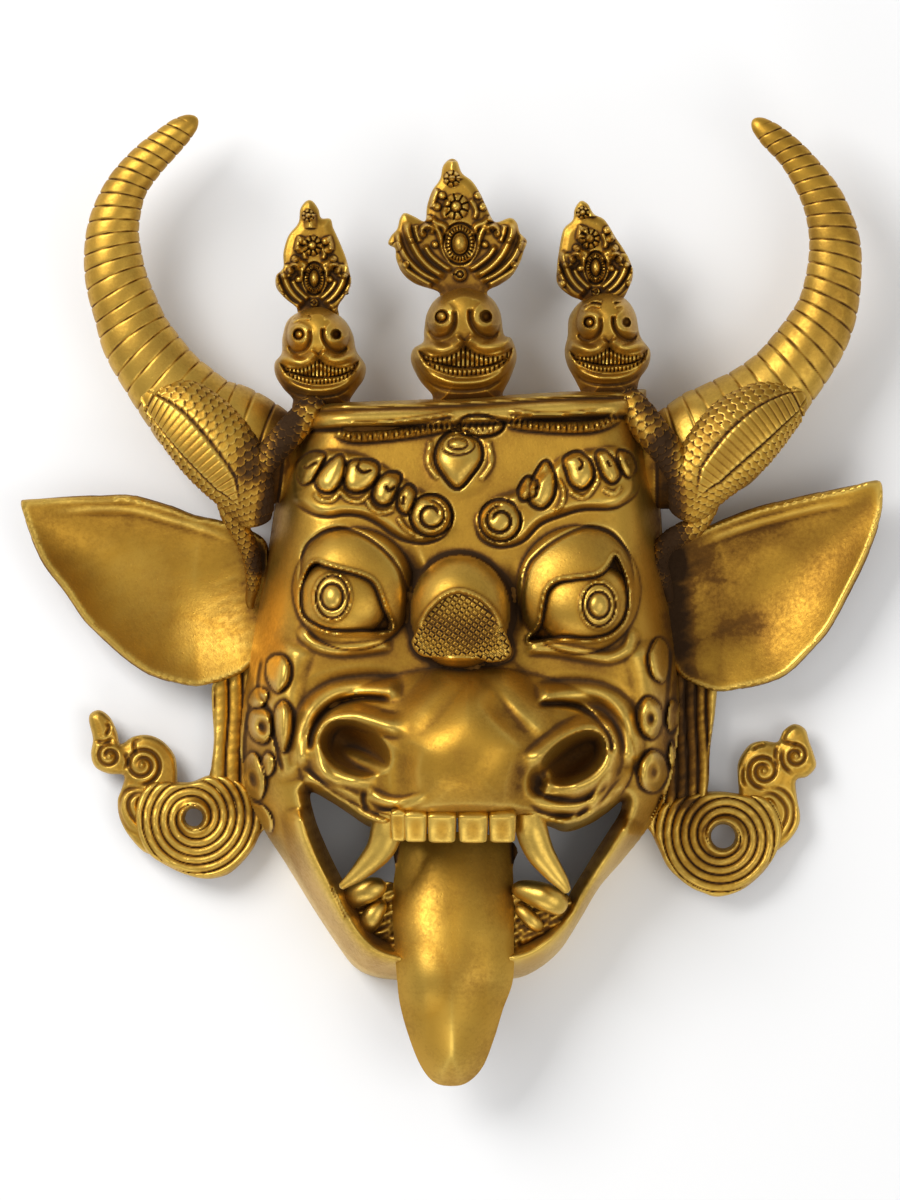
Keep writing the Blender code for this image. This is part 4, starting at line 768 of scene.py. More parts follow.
# %% Cheeks and lips
def cheeks(c):
    c.ridge([(-155, -41), (-168, -91), (-166, -141), (-156, -181)], 22, 9)
    c.ridge([(188, -41), (200, -91), (200, -141), (190, -191)], 22, 9)
    lines(c, 4, -5, [(-190, -56), (-194, -91), (-182, -113), (-174, -151), (-168, -176)],
          [(220, -51), (216, -91), (212, -131)], [(-202, -101), (-208, -141), (-209, -181)])
    for height, edge, outline in (
            (17, 13, [(-176, -56), (-185, -64), (-184, -81), (-174, -93), (-163, -83), (-161, -67),
                      (-167, -57)]),
            (17, 13, [(-168, -101), (-177, -113), (-176, -136), (-168, -153), (-160, -136), (-159, -113)]),
            (12, 9, [(-196, -89), (-204, -101), (-200, -109), (-188, -107), (-184, -93)]),
            (17, 12, [(-190, -109), (-202, -113), (-205, -127), (-198, -141), (-185, -143), (-179, -129),
                      (-180, -115)]),
            (12, 9, [(-184, -153), (-190, -163), (-186, -177), (-178, -171), (-177, -159)]),
            (16, 12, [(-198, -153), (-209, -163), (-212, -181), (-204, -197), (-192, -201), (-186, -186),
                      (-188, -169)]),
            (12, 9, [(-202, -207), (-196, -225), (-182, -235), (-180, -219), (-189, -207)]),
            (17, 13, [(205, -39), (196, -56), (200, -77), (212, -83), (218, -65), (216, -46)]),
            (17, 12, [(194, -98), (185, -113), (189, -133), (202, -139), (210, -123), (207, -105)]),
            (18, 13, [(198, -151), (186, -167), (189, -187), (204, -193), (216, -177), (212, -158)]),
            (12, 9, [(220, -101), (214, -117), (218, -133), (227, -125), (229, -109)]),
            (12, 8, [(220, -143), (216, -158), (220, -171), (226, -159)]),
            (12, 9, [(212, -197), (206, -209), (200, -223), (210, -219), (218, -205)])):
        pellet(c, outline, height, edge, 1.0, 4)
    c.mound((-189, -128), 8.5, 11, -13, 20)
    c.mound((-199, -181), 7, 12, -10, 15)
    c.mound((198, -119), 8, 11, -11)
    c.mound((201, -173), 8, 12, -9)


def lips(c):
    c.ridge([(-153, -207), (-145, -247), (-129, -283), (-110, -317), (-86, -349), (-52, -363), (3, -367),
             (56, -363), (93, -351), (120, -327), (138, -297), (158, -261),
             (184, -221)], 20, 20, taper=0.03)
    c.ridge([(-134, -187), (-110, -202), (-86, -219), (-60, -223), (-36, -219)], 9, 8, taper=0.2)
    c.ridge([(56, -218), (93, -220), (123, -226), (152, -209), (174, -187)], 9, 8, taper=0.2)
    lines(c, 2.4, -3, [(-121, -286), (-114, -303), (-105, -321)])


def mouth_edge(c):
    """The lips roll back into the mouth."""
    d, _ = to_line(c.x, c.y, smooth_line(MOUTH + MOUTH[:1]))
    c.z -= LIP_ROLL * (1 - np.clip(d / LIP_BAND, 0, 1)) ** 1.7
    c.z += rough(c.x, c.y, 12) * ease((LIP_BAND - d) / 4) * ease((np.abs(c.x - 10) - 96) / 12)


def carve_face(c):
    c.z[:] = base(c.x, c.y)
    for step in (brows, eyes, third_eye, band, muzzle, cheeks, lips, knob, mouth_edge):
        step(c)


# %% [markdown]
# Outlines and paths of the other forms
#
# The ears, pendants, skulls, leaves and tongue are plates, so each has an outline. The horns, snakes and
# teeth are bars, so each has a path with heights and radii. Left and right have points of their own,
# because the real mask was modelled by hand and its sides differ.

# %% Outlines of the ears and the pendants, by side: -1 is left and 1 is right
EAR = {
    -1: [(-433, 97), (-427, 100), (-392, 101), (-352, 102), (-327, 103), (-307, 99), (-282, 92),
         (-257, 83), (-238, 80), (-212, 73), (-188, 59), (-184, 34), (-184, -1), (-186, -41), (-200, -65),
         (-217, -77), (-247, -86), (-262, -87), (-287, -81), (-307, -73), (-327, -59), (-347, -41),
         (-367, -21), (-387, 9), (-407, 34), (-420, 59), (-430, 84)],
    1: [(431, 117), (418, 118), (398, 112), (368, 105), (338, 98), (308, 91), (278, 81), (260, 74),
        (238, 65), (212, 54), (203, 29), (205, -1), (210, -31), (216, -56), (228, -75), (243, -85),
        (268, -93), (293, -89), (318, -83), (338, -73), (358, -53), (378, -29), (398, 9), (413, 39),
        (425, 69), (432, 94)]}
FLANGE = {
    -1: [(-196, -56), (-226, -73), (-240, -83), (-242, -101), (-240, -141), (-243, -171), (-247, -201),
         (-212, -216), (-190, -216), (-196, -161), (-196, -111)],
    1: [(212, -56), (238, -75), (264, -85), (266, -106), (260, -151), (258, -191), (248, -216), (220, -216),
        (208, -191), (212, -141), (212, -101)]}
COIL = {
    -1: [(-170, -227), (-190, -233), (-200, -251), (-212, -266), (-227, -278), (-247, -282), (-267, -278),
         (-287, -269), (-305, -257), (-316, -239), (-320, -213), (-312, -191), (-297, -183), (-278, -184),
         (-262, -184), (-243, -177), (-222, -179), (-202, -191), (-184, -206)],
    1: [(188, -229), (198, -232), (208, -251), (218, -271), (238, -289), (253, -296), (268, -300),
        (290, -294), (310, -279), (325, -259), (334, -233), (328, -209), (313, -198), (289, -196),
        (273, -194), (257, -194), (236, -197), (210, -207)]}
SCROLL = {
    -1: [(-272, -231), (-266, -201), (-276, -186), (-277, -173), (-280, -157), (-292, -143), (-307, -137),
         (-322, -139), (-334, -146), (-338, -133), (-345, -119), (-355, -112), (-364, -115), (-366, -123),
         (-362, -141), (-364, -156), (-360, -169), (-347, -176), (-331, -178), (-333, -191), (-337, -203),
         (-335, -221), (-324, -241), (-306, -257), (-282, -253)],
    1: [(290, -249), (286, -216), (289, -196), (288, -179), (289, -163), (300, -147), (314, -143),
        (328, -144), (334, -133), (345, -126), (356, -131), (360, -143), (365, -157), (367, -169),
        (358, -179), (347, -183), (348, -201), (351, -223), (342, -241), (324, -256), (303, -263)]}

# %% Outlines of the skulls, leaves and tongue, and where the stamped carving stands on each
SKULLS = [
    dict(
        bone=[(-162, 283), (-170, 264), (-171, 247), (-178, 237), (-177, 224), (-169, 211), (-160, 201),
              (-156, 189), (-107, 191), (-102, 201), (-96, 210), (-88, 222), (-87, 235), (-96, 249),
              (-100, 267), (-111, 283), (-134, 294)],
        leaf=[(-152, 281), (-155, 291), (-167, 301), (-176, 312), (-176, 324), (-169, 332), (-169, 347),
              (-164, 364), (-154, 377), (-152, 391), (-146, 399), (-140, 399), (-134, 391), (-131, 382),
              (-122, 381), (-119, 372), (-114, 361), (-107, 344), (-103, 329), (-101, 316), (-107, 304),
              (-114, 293), (-116, 279)],
        disc=(-138, 321), flower=(-140, 354), bud=(-144, 384),
        mid=(-134, 255), size=0.84, spread=(0.62, 0.78)),
    dict(
        bone=[(-14, 303), (-25, 287), (-28, 269), (-29, 258), (-39, 251), (-41, 238), (-32, 219),
              (-20, 205), (-14, 191), (48, 194), (51, 207), (59, 223), (65, 243), (60, 261), (52, 266),
              (48, 289), (36, 305), (11, 313)],
        leaf=[(-8, 299), (-14, 308), (-37, 316), (-50, 327), (-56, 341), (-57, 351), (-64, 356), (-61, 364),
              (-55, 371), (-52, 382), (-47, 387), (-37, 383), (-27, 379), (-25, 394), (-20, 409),
              (-12, 421), (-9, 434), (-2, 441), (5, 439), (10, 427), (20, 419), (28, 407), (35, 392),
              (43, 378), (58, 382), (65, 377), (68, 367), (75, 359), (72, 349), (68, 337), (60, 324),
              (48, 315), (36, 309), (32, 299)],
        disc=(8, 356), flower=(4, 393), bud=(0, 421),
        mid=(12, 271), size=1.0, spread=(1.0, 1.0)),
    dict(
        bone=[(131, 300), (118, 284), (116, 264), (113, 249), (116, 234), (123, 221), (129, 209),
              (136, 195), (184, 198), (186, 211), (189, 222), (197, 234), (199, 249), (189, 264),
              (184, 287), (173, 302), (152, 309)],
        leaf=[(136, 297), (128, 300), (118, 304), (106, 315), (105, 331), (108, 354), (112, 371),
              (121, 380), (123, 391), (129, 399), (136, 396), (142, 386), (153, 380), (163, 364),
              (173, 349), (180, 334), (181, 322), (176, 309), (172, 302), (166, 297)],
        disc=(144, 332), flower=(138, 361), bud=(131, 387),
        mid=(156, 267), size=0.84, spread=(0.62, 0.78))]
TONGUE = [
    (-54, -243), (3, -233), (60, -243), (61, -271), (62, -301), (62, -341), (61, -381), (51, -411),
    (42, -441), (31, -469), (16, -485), (0, -489), (-18, -485), (-32, -467), (-44, -436), (-52, -406),
    (-55, -381), (-58, -341), (-60, -301), (-57, -271)]

# %% Paths of the horns, snakes and teeth, as x, y, height and radius
HORN_L = [
    (-147, 127, 44, 34), (-168, 136, 50, 43), (-190, 145, 54, 50), (-222, 163, 57, 52), (-250, 179, 60, 48),
    (-272, 201, 62, 43), (-290, 222, 64, 39), (-315, 259, 67, 36), (-326, 287, 69, 33), (-336, 317, 72, 31),
    (-340, 343, 74, 29), (-340, 369, 77, 26), (-334, 394, 80, 23), (-324, 416, 83, 20), (-306, 438, 86, 18),
    (-289, 454, 88, 16), (-271, 470, 90, 13), (-255, 482, 92, 7)]
HORN_R = [
    (180, 125, 44, 34), (202, 132, 50, 43), (228, 141, 54, 51), (263, 159, 58, 56), (288, 178, 60, 50),
    (310, 197, 62, 43), (333, 221, 64, 37), (351, 244, 66, 35), (366, 267, 68, 33), (377, 292, 70, 30),
    (383, 324, 73, 27.5), (384, 355, 76, 25.5), (378, 383, 79, 22.5), (369, 405, 82, 20),
    (355, 427, 85, 17),
    (339, 447, 87, 14.6), (319, 465, 89, 12.5), (301, 480, 91, 7)]
HOOD_L = [(-309, 210, 84, 9), (-294, 202, 86, 22), (-270, 186, 92, 34), (-240, 155, 96, 39),
          (-214, 121, 96, 34),
          (-200, 91, 92, 22), (-195, 73, 86, 10)]
HOOD_R = [(354, 206, 84, 9), (340, 200, 86, 22), (313, 184, 92, 34), (283, 159, 96, 40), (254, 126, 96, 34),
          (238, 96, 92, 22), (230, 80, 86, 11)]
NECK_L = [(-134, 201, 92, 11), (-144, 187, 102, 13), (-162, 167, 104, 14), (-180, 147, 100, 13),
          (-194, 125, 92, 11)]
NECK_R = [(170, 207, 92, 11), (182, 191, 102, 15), (200, 167, 104, 16), (216, 147, 100, 15),
          (232, 117, 94, 12)]
TAIL_L = [(-228, 101, 78, 8), (-223, 87, 80, 9), (-214, 71, 76, 9.5), (-205, 53, 66, 9), (-200, 35, 58, 8),
          (-200, 15, 50, 6.5),
          (-203, -1, 44, 5), (-202, -10, 40, 3)]
TAIL_R = [(260, 97, 80, 8), (253, 86, 82, 9.5), (242, 72, 80, 10), (224, 62, 78, 10), (211, 51, 74, 9.5),
          (207, 36, 66, 9), (211, 21, 56, 8),
          (216, 9, 48, 6.5), (219, -3, 40, 4)]
FANG_L = [(-63, -207, 157, 14), (-65, -229, 146, 16), (-71, -248, 143, 14.5), (-85, -265, 140, 11),
          (-99, -278, 138, 7), (-112, -288, 136, 3)]
FANG_R = [(76, -207, 157, 14), (79, -229, 146, 16), (87, -251, 143, 14.5), (99, -269, 140, 11),
          (109, -282, 138, 7.5), (116, -293, 136, 3.5)]
# The upper teeth, as x, y and half the width.
TEETH = [(-53, -223, 7.5), (-36, -223, 11.5), (-10, -223, 14.5), (21, -223, 15), (50, -223, 13.5)]
MOLARS = [
    [(-106, -304, 84, 9), (-94, -296, 98, 12), (-80, -290, 104, 12), (-66, -286, 98, 7)],
    [(-90, -333, 78, 8), (-82, -322, 92, 11), (-75, -311, 96, 9), (-68, -304, 88, 6)],
    [(60, -289, 92, 7), (78, -293, 100, 12), (97, -300, 104, 14), (112, -310, 92, 10)],
    [(65, -307, 88, 5), (72, -314, 93, 7.5), (81, -323, 94, 8), (90, -332, 88, 5)]]

# %% Gums, and the tongue's height along its middle, as (row, height)
GUMS = {
    -1: [(-106, -307), (-96, -293), (-76, -283), (-50, -289), (-46, -321), (-48, -357), (-66, -349),
         (-86, -339), (-100, -323)],
    1: [(54, -291), (72, -285), (96, -287), (116, -297), (120, -309), (106, -331), (86, -345), (54, -357),
        (50, -321)]}
TONGUE_RISE = [(-228, 96), (-250, 102), (-275, 109), (-305, 118), (-340, 127), (-380, 130), (-420, 121),
               (-460, 107), (-492, 92)]


# %% [markdown]
# Ears, flanges, coils and scrolls
#
# The ears are shallow bowls with a folded upper edge. Below them a flange of strands runs down the
# cheek and winds into a coil round an eyelet, and a bird-like scroll stands on the coil's outer side.
# The windings are one wave of height that depends on the distance from the hole and on the angle, so
# they stay joined as a real spiral does, instead of being separate rings.

# %% Ears and flanges
EAR_ROOT = {-1: (11, 15), 1: (10, 15)}  # the outline's points between which it joins the face
EAR_ROOT_MIDDLE = {-1: (-212, -1), 1: (228, -1)}
EAR_FOLD = {-1: [(-412, 87), (-362, 90), (-322, 89), (-282, 79), (-237, 66), (-208, 51)],
            1: [(416, 101), (378, 94), (338, 84), (298, 73), (260, 60), (238, 51)]}
STRANDS = {-1: (212, 14.5), 1: (236, 10.5)}  # where a flange's strands start, and their width
EYELETS = {-1: ((-260, -220), LEFT_EYELET / 2 / SQUARE), 1: ((273, -239), RIGHT_EYELET / 2 / SQUARE)}


def depth(c, loop):
    return np.clip(depth_in(c.x, c.y, loop), 0, None)


def rounded(d, reach, drop):
    """The edge of a cast plate, rounded over."""
    return drop * (np.sqrt(1 - (1 - np.clip(d / reach, 0, 1)) ** 2) - 1)


def ear(side):
    """A smooth bowl between the upper and the lower edge, shallower towards the root."""
    points, (a, b) = EAR[side], EAR_ROOT[side]
    loop = smooth_line(points, steps=6, closed=True)
    edges = points[:a], points[a - 1:b], points[b - 1:] + points[:1]

    def carve(c):
        up, root, down = (to_line(c.x, c.y, smooth_line(edge))[0] + 0.1 for edge in edges)
        out = np.clip((side * c.x - 190) / 240, 0, 1)
        sunk = 4 * up * down / (up + down) ** 2 * ease((up + down) / 120) * (0.35 + 0.65 * ease(root / 100))
        c.z[:] = 42 + 22 * out - 29 * sunk + rounded(depth(c, loop), 3.5, 4)
        c.ridge(EAR_FOLD[side], 6, 1.6, taper=0.3)
        x, y = EAR_ROOT_MIDDLE[side]
        c.z += soft(np.hypot((c.x - x) / 46, (c.y - y) / 84)) * 0.3 * rough(c.x, c.y, 11)
    return loop, carve


def flange(side):
    loop = smooth_line(FLANGE[side], steps=4, closed=True)
    start, width = STRANDS[side]

    def carve(c):
        strand = (side * c.x - start) / width + 0.12 * np.sin(0.045 * c.y)
        c.z[:] = 30 + 4.5 * np.sqrt(np.clip(1 - (2 * (strand - np.floor(strand)) - 1) ** 2, 0, 1))
        c.z += rounded(depth(c, loop), 3, 4) + 0.4 * rough(c.x, c.y, 11)
    return loop, carve


# %% Coils with an eyelet
def coil(side):
    loop = smooth_line(COIL[side], steps=4, closed=True)
    at, bore = EYELETS[side]

    def carve(c):
        dx, dy = c.x - at[0], c.y - at[1]
        r, turn = np.hypot(dx, dy), np.arctan2(dy, dx)
        wave = r / 8.6 + side * 2 * turn / (2 * math.pi)
        strand = 2 * (wave - np.floor(wave)) - 1
        height = (4 + 0.8 * rough(c.x, c.y, 15)) * np.sqrt(np.clip(1 - strand**2, 0, 1))
        c.z[:] = 33 + height * ease((r - bore) / 5)
        c.z += 5 * soft((r - bore - 3.5) / 6) + rounded(depth(c, loop), 6, 9) + rounded(r - bore, 4, 5)
    return loop, carve, at, bore


# %% Scrolls
SCROLL_LINES = {
    -1: [[(-305, -191), (-327, -192), (-335, -204), (-335, -216), (-327, -231), (-312, -241)],
         [(-305, -198), (-318, -196), (-326, -204), (-324, -216), (-315, -228), (-308, -234)],
         [(-305, -202), (-314, -201), (-317, -208), (-314, -216), (-307, -220)],
         [(-294, -188), (-304, -205), (-308, -223), (-306, -241)],
         [(-280, -187), (-294, -191), (-301, -207), (-302, -229)],
         [(-318, -158), (-320, -144), (-311, -139)], [(-330, -153), (-327, -163), (-330, -174)],
         [(-349, -123), (-345, -130), (-350, -139)], [(-362, -142), (-350, -144), (-339, -139)]],
    1: [[(306, -198), (323, -196), (335, -207), (337, -220), (330, -234), (321, -241)],
        [(310, -205), (320, -203), (325, -213), (321, -225)],
        [(313, -192), (331, -191), (343, -204), (344, -223), (336, -239), (326, -249)],
        [(316, -223), (319, -239), (324, -256)], [(304, -251), (312, -237), (313, -216), (306, -201)],
        [(301, -153), (308, -148), (318, -146)], [(332, -149), (333, -166), (345, -178)],
        [(294, -166), (292, -181), (296, -191)], [(348, -125), (337, -134), (335, -143), (350, -146)],
        [(327, -145), (326, -161), (331, -173)]]}
SCROLL_CURLS = {  # centre, outer radius, where its furrow starts, turns
    -1: (((-312, -167), 20, 250, 1.9), ((-345, -158), 13, 60, 1.5)),
    1: (((314, -173), 18, 290, -1.9), ((346, -158), 12, 120, -1.5))}


def scroll(side):
    loop = smooth_line(SCROLL[side], steps=4, closed=True)

    def carve(c):
        d = depth(c, loop)
        c.z[:] = 29 + 3 * ease(d / 14) + rounded(d, 6, 8)
        for at, r, start, turns in SCROLL_CURLS[side]:
            c.mound(at, r + 4, r + 4, 4)
            c.coil(at, r, turns, start, 3.6, -3.6, shrink=0.2)
            c.mound(at, 4, 4, 4)
        lines(c, 3.4, -3, *SCROLL_LINES[side], taper=0.3)
    return loop, carve


# %% [markdown]
# Skulls and leaves
#
# The three skulls grin: two thick rolls of lip meet in a point over a lens of narrow teeth. On each
# stands a leaf-shaped plate with a beaded medallion, a flower and curled foliage, cast so small that
# only its dirt makes it readable. All three are the same carving, moved and scaled to three outlines,
# as if by one stamp. Its strokes are given in squares from the middle of the middle skull, or of the
# middle leaf's medallion.

# %% Skulls
TOOTH_ROWS = (  # where the upper teeth start, where they meet the lower ones, and where those end
    ((-46, -24), (-32, -29), (-18, -28), (-7, -23), (0, -16), (10, -24), (24, -28), (38, -27), (48, -19)),
    ((-43, -31), (-24, -36), (-1, -40), (24, -38), (43, -30)),
    ((-40, -34), (-34, -40), (-18, -46), (-1, -48), (22, -46), (36, -39), (44, -32)))


def copied(middle, wide, tall):
    """Takes points of the stamped carving to this copy's place and size."""
    def path(*points):
        return [(middle[0] + wide * x, middle[1] + tall * y) for x, y in points]
    return path


def skull(parts):
    bone = smooth_line(parts["bone"], steps=6, closed=True)
    size = parts["size"]
    path = copied(parts["mid"], size, size)

    def carve(c):
        d = depth(c, bone)
        c.z[:] = 70 + 44 * np.sqrt(1 - (1 - np.clip(d / 26, 0, 1)) ** 2)
        c.swell(path((0, 12))[0], 37 * size, 34 * size, 134, 38, blend=8)
        for x, hole, ball in ((-22.5, 7.5, 9), (22, 6.6, -3)):
            spot = path((x, 11))[0]
            c.mound(spot, 19 * size, 19 * size, 7)
            ring(c, spot, 10.5 * size, 10.5 * size, 5, 4)
            c.mound(spot, hole * size, hole * size, -13, form=lambda r: np.clip(1 - r**4, 0, 1))
            c.mound(spot, 5 * size, 5 * size, ball, form=dome)
        lines(c, 4 * size, -6, path((-37, -1), (-28, -9), (-16, -7), (-10, 3), (-10, 18)),
              path((36, -2), (26, -9), (14, -5), (7, 6), (6, 20)))
        lines(c, 3 * size, 4, path((-31, 25), (-21, 31), (-8, 29)), path((7, 29), (20, 33), (32, 25)),
              path((-27, 32), (-16, 37), (-7, 35)), path((4, 36), (18, 39), (28, 33)))
        lines(c, 2 * size, -3, path((-30, 29), (-19, 34), (-7, 32)), path((6, 33), (20, 36), (31, 29)))
        lips = (path((-48, -15), (-34, -19), (-21, -22), (-9, -18), (-1, -10)),
                path((2, -10), (10, -16), (23, -19), (37, -16), (49, -10)))
        lines(c, 9 * size, 12, *lips)
        gap = smooth_line(path((-47, -21), (-33, -27), (-18, -26), (-7, -21), (0, -13), (10, -22),
                               (24, -26), (37, -24), (49, -18), (47, -30), (36, -41), (20, -48),
                               (-1, -50), (-20, -47), (-37, -38)), closed=True)
        i = c.near(gap, 2)
        c.z[i] -= 7 * ease(depth_in(c.x[i], c.y[i], gap) / 3)
        lines(c, 7 * size, 7,
              path((-43, -26), (-32, -32), (-18, -32), (-8, -28), (0, -24), (10, -28), (22, -32), (36, -29),
                   (46, -23)),
              path((-40, -34), (-28, -40), (-15, -43), (-3, -44), (10, -43), (26, -41), (43, -32)))
        c.ridge(path((-43, -31), (-24, -36), (-1, -40), (24, -38), (43, -30)), 2.0 * size, -6)
        for k in range(19):
            x = 4.6 * k - 40
            top, bite, foot = (np.interp(x, *np.array(row).T) for row in TOOTH_ROWS)
            c.ridge(path((x, top - 1), (x, bite)), 1.3 * size, -4, taper=0.02)
            c.ridge(path((x + 1.5, bite - 2), (x + 1.5, foot)), 1.3 * size, -3, taper=0.02)
        c.ridge(path((-49, -20), (-45, -30), (-35, -45), (-18, -53), (-1, -55), (19, -53), (36, -45),
                     (47, -30), (51, -20)), 5 * size, 6)
        c.ridge(path((-40, -50), (-24, -60), (-2, -63), (22, -60), (40, -50)), 3 * size, -3)
        c.z[:] = np.minimum(c.z, 70 + 68 * np.sqrt(1 - (1 - np.clip(d / 24, 0, 1)) ** 2))
        c.z += rounded(d, 3, 4)
    return bone, carve


# %% Leaves
def flower(c, at, r, petals):
    c.mound(at, r + 2, r + 2, 3)
    c.mound(at, r, r, 5, form=dome)
    for k in range(petals):
        a = 2 * math.pi * (k + 0.5) / petals
        c.ridge([(at[0] + 0.4 * r * math.cos(a), at[1] + 0.4 * r * math.sin(a)),
                 (at[0] + 1.05 * r * math.cos(a), at[1] + 1.05 * r * math.sin(a))], 1.5, -4)
    ring(c, at, r * 0.42, r * 0.42, 1.6, -3)
    c.mound(at, r * 0.34, r * 0.34, 3, form=dome)


def leaf(parts):
    loop = smooth_line(parts["leaf"], steps=6, closed=True)
    wide, tall = parts["spread"]
    top = parts["disc"]
    path = copied(top, wide, tall)

    def carve(c):
        d = depth(c, loop)
        c.z[:] = 86 + 3 * ease(d / 9) + rounded(d, 3, 4)
        c.ridge(path((-6, 83), (-6, 65)), 11 * wide, 6, taper=0.02)
        c.mound(top, 17 * wide, 21 * tall, 6)
        ring(c, top, 12 * wide, 15 * tall, 3.2, 4)
        ring(c, top, 8.8 * wide, 11.6 * tall, 1.7, -3.5)
        for k in range(26):
            a = 2 * math.pi * k / 26
            c.ridge([(top[0] + wide * 10 * math.cos(a), top[1] + tall * 13 * math.sin(a)),
                     (top[0] + wide * 14.5 * math.cos(a), top[1] + tall * 18 * math.sin(a))], 0.95, -3.2)
        c.mound(top, 6.4 * wide, 8.6 * tall, 5, form=dome)
        ring(c, top, 17 * wide, 20.5 * tall, 2, -4)
        flower(c, parts["flower"], 13 * min(wide * 1.25, 1), 9)
        flower(c, parts["bud"], 8 * min(wide * 1.25, 1), 7)
        flower(c, path((0, -31))[0], 7 * wide, 1)
        for s in (-1, 1):
            def sided(*points):
                return path(*[(s * x, y) for x, y in points])
            for ball, r in (((25, -1), 3.6), ((31, 25), 3.8), ((23, 37), 4.2), ((18, 48), 4),
                            ((37, 10), 3.4), ((63, -3), 5), ((54, -21), 3.6), ((49, 3), 3)):
                c.mound(sided(ball)[0], r, r, 6.5, form=dome)
            for width, height, strand in (
                    (5, 8, ((30, 27), (25, 21), (16, 17), (13, 8))),
                    (4, 7, ((36, 13), (31, 17), (23, 14), (19, 4), (16, -7), (8, -18))),
                    (3.6, 6, ((29, 9), (28, 15), (34, 18), (39, 12), (36, 5))),
                    (5, 8, ((53, 23), (52, 11), (47, -2), (40, -14), (29, -25), (14, -34))),
                    (4, 7, ((63, 13), (60, -1), (53, -15), (39, -29), (20, -39))),
                    (4, 6, ((36, -1), (29, -12), (17, -22), (8, -27))),
                    (4.5, 6, ((61, -17), (53, -27), (41, -35), (27, -43))),
                    (4, 6, ((45, 19), (43, 9), (40, 1))),
                    (4, 6, ((22, 55), (26, 45), (28, 35))), (3.6, 5, ((10, 45), (16, 33), (14, 24)))):
                c.ridge(sided(*strand), width, height, taper=0.12)
    return loop, carve


# %% [markdown]
# Tongue, horns and snakes
#
# The tongue is a smooth plate with a faint keel. The horns are bars cut by thin lines at right angles
# to their length, nearly evenly spaced. The snakes show what a relief on a bar can do: broad plates up
# the belly, and scales on both flanks that overlap like tiles, so each one is a slope that ends in a
# small step.

# %% Tongue and horns
def tongue_form(c):
    rise = smooth_line(TONGUE_RISE)
    d, _ = to_line(c.x, c.y, smooth_line(TONGUE[2:] + TONGUE[:1]))
    c.z[:] = np.interp(-c.y, -rise[:, 0], rise[:, 1]) - 28 * (1 - np.clip(d / 58, 0, 1)) ** 2.4
    c.ridge([(4, -331), (5, -381), (6, -431), (3, -473)], 30, 2, taper=0.4)
    c.mound((-30, -381), 28, 40, 3)


def gum(side):
    """The rough metal between the jaw and the tongue, on which the lower teeth stand."""
    loop = smooth_line(GUMS[side], steps=4, closed=True)

    def carve(c):
        d = depth(c, loop)
        c.z[:] = 83 + 7 * ease(d / 12) + 3 * rough(c.x, c.y, 9) + rounded(d, 2, 2)
    return loop, carve


def horn_rings(slant):
    def relief(share, angle):
        wave = 17.5 * share + 12.5 * share**2 + slant * np.cos(angle) - 0.25 * np.sin(angle)
        t = wave - np.floor(wave)
        away = np.minimum(t, 1 - t) * 15
        fade = ease(share / 0.03) * ease((0.985 - share) / 0.03)
        uneven = 0.75 + 0.25 * np.sin(7 * angle + 5 * np.floor(wave + 0.5))
        groove = -1.5 * uneven * soft(away / 1.5)
        return fade * (groove + 0.5 * np.sqrt(np.clip(1 - (2 * t - 1) ** 2, 0, 1)))
    return relief


# %% Scales and belly plates
def scales(s, a, steep=0.5):
    """Overlapping tiles: s counts rows along the body and a counts columns round it."""
    height = np.zeros(s.shape)
    open_yet = np.ones(s.shape, bool)
    for back in (1, 0, -1):
        row = np.floor(s) - back
        off = a + 0.5 * (row % 2)
        off = 2 * (off - np.floor(off)) - 1
        edge = row + 1 + steep * (1 - off**2) ** 0.5
        here = open_yet & (s < edge)
        height = np.where(here, np.clip(1 - (edge - s) / 1.5, 0, 1), height)
        open_yet &= ~here
    return height


def hood_relief(strip_at, rows):
    def relief(share, angle):
        off = np.angle(np.exp(1j * (angle - strip_at)))
        wide = np.interp(share, [0, 0.06, 0.3, 0.7, 0.86], [0.4, 0.46, 0.46, 0.36, 0.0])
        inner = ease((wide - np.abs(off)) / 0.05)
        border = soft((np.abs(off) - wide) / 0.09) * ease((0.82 - share) / 0.1)
        wave = share * rows
        t = wave - np.floor(wave)
        plates = 2.2 * np.sqrt(np.clip(1 - (2 * t - 1) ** 4, 0, 1)) + 0.9
        tiles = 2.3 * scales(share * rows, off * 22 / (2 * math.pi))
        cap = soft((share - 0.075) / 0.016)
        return inner * plates * (share > 0.08) + (1 - inner) * tiles - 2.4 * border - 3 * cap
    return relief


def rope_scales(rows, around, height, smooth_from=1.0):
    def relief(share, angle):
        return height * scales(share * rows,
                               angle * around / (2 * math.pi)) * ease((smooth_from - share) / 0.15 + 1)
    return relief


# %% Make the face
rim = np.vstack([smooth_line(JAW_LINE), TOP_LINE[1:-1]])
plate("face", rim, carve_face, FACE_WALL, 1.55, 7, hole=smooth_line(MOUTH, closed=True), rests=True)


# %% Make the knob's cross-hatched front
def hatched(c):
    c.z[:] = knob_front(c.x, c.y) + 1.5
    d = depth_in(c.x, c.y, KNOB_FRONT)
    for slope, apart in ((0.96, 5.3), (-0.58, 6.1)):
        wave = (c.x * math.cos(slope) + c.y * math.sin(slope)) / apart
        wave += 0.12 * np.sin(c.x * 0.11 + c.y * 0.08)
        t = wave - np.floor(wave)
        c.z -= (1.7 + 0.5 * rough(c.x, c.y, 12)) * soft(np.minimum(t, 1 - t) * apart / 1.25) * ease(d / 3)
    c.z += rounded(d, 3, 3.5)


plate("knob_front", KNOB_FRONT, hatched, KNOB_WALL, 0.62, 5)

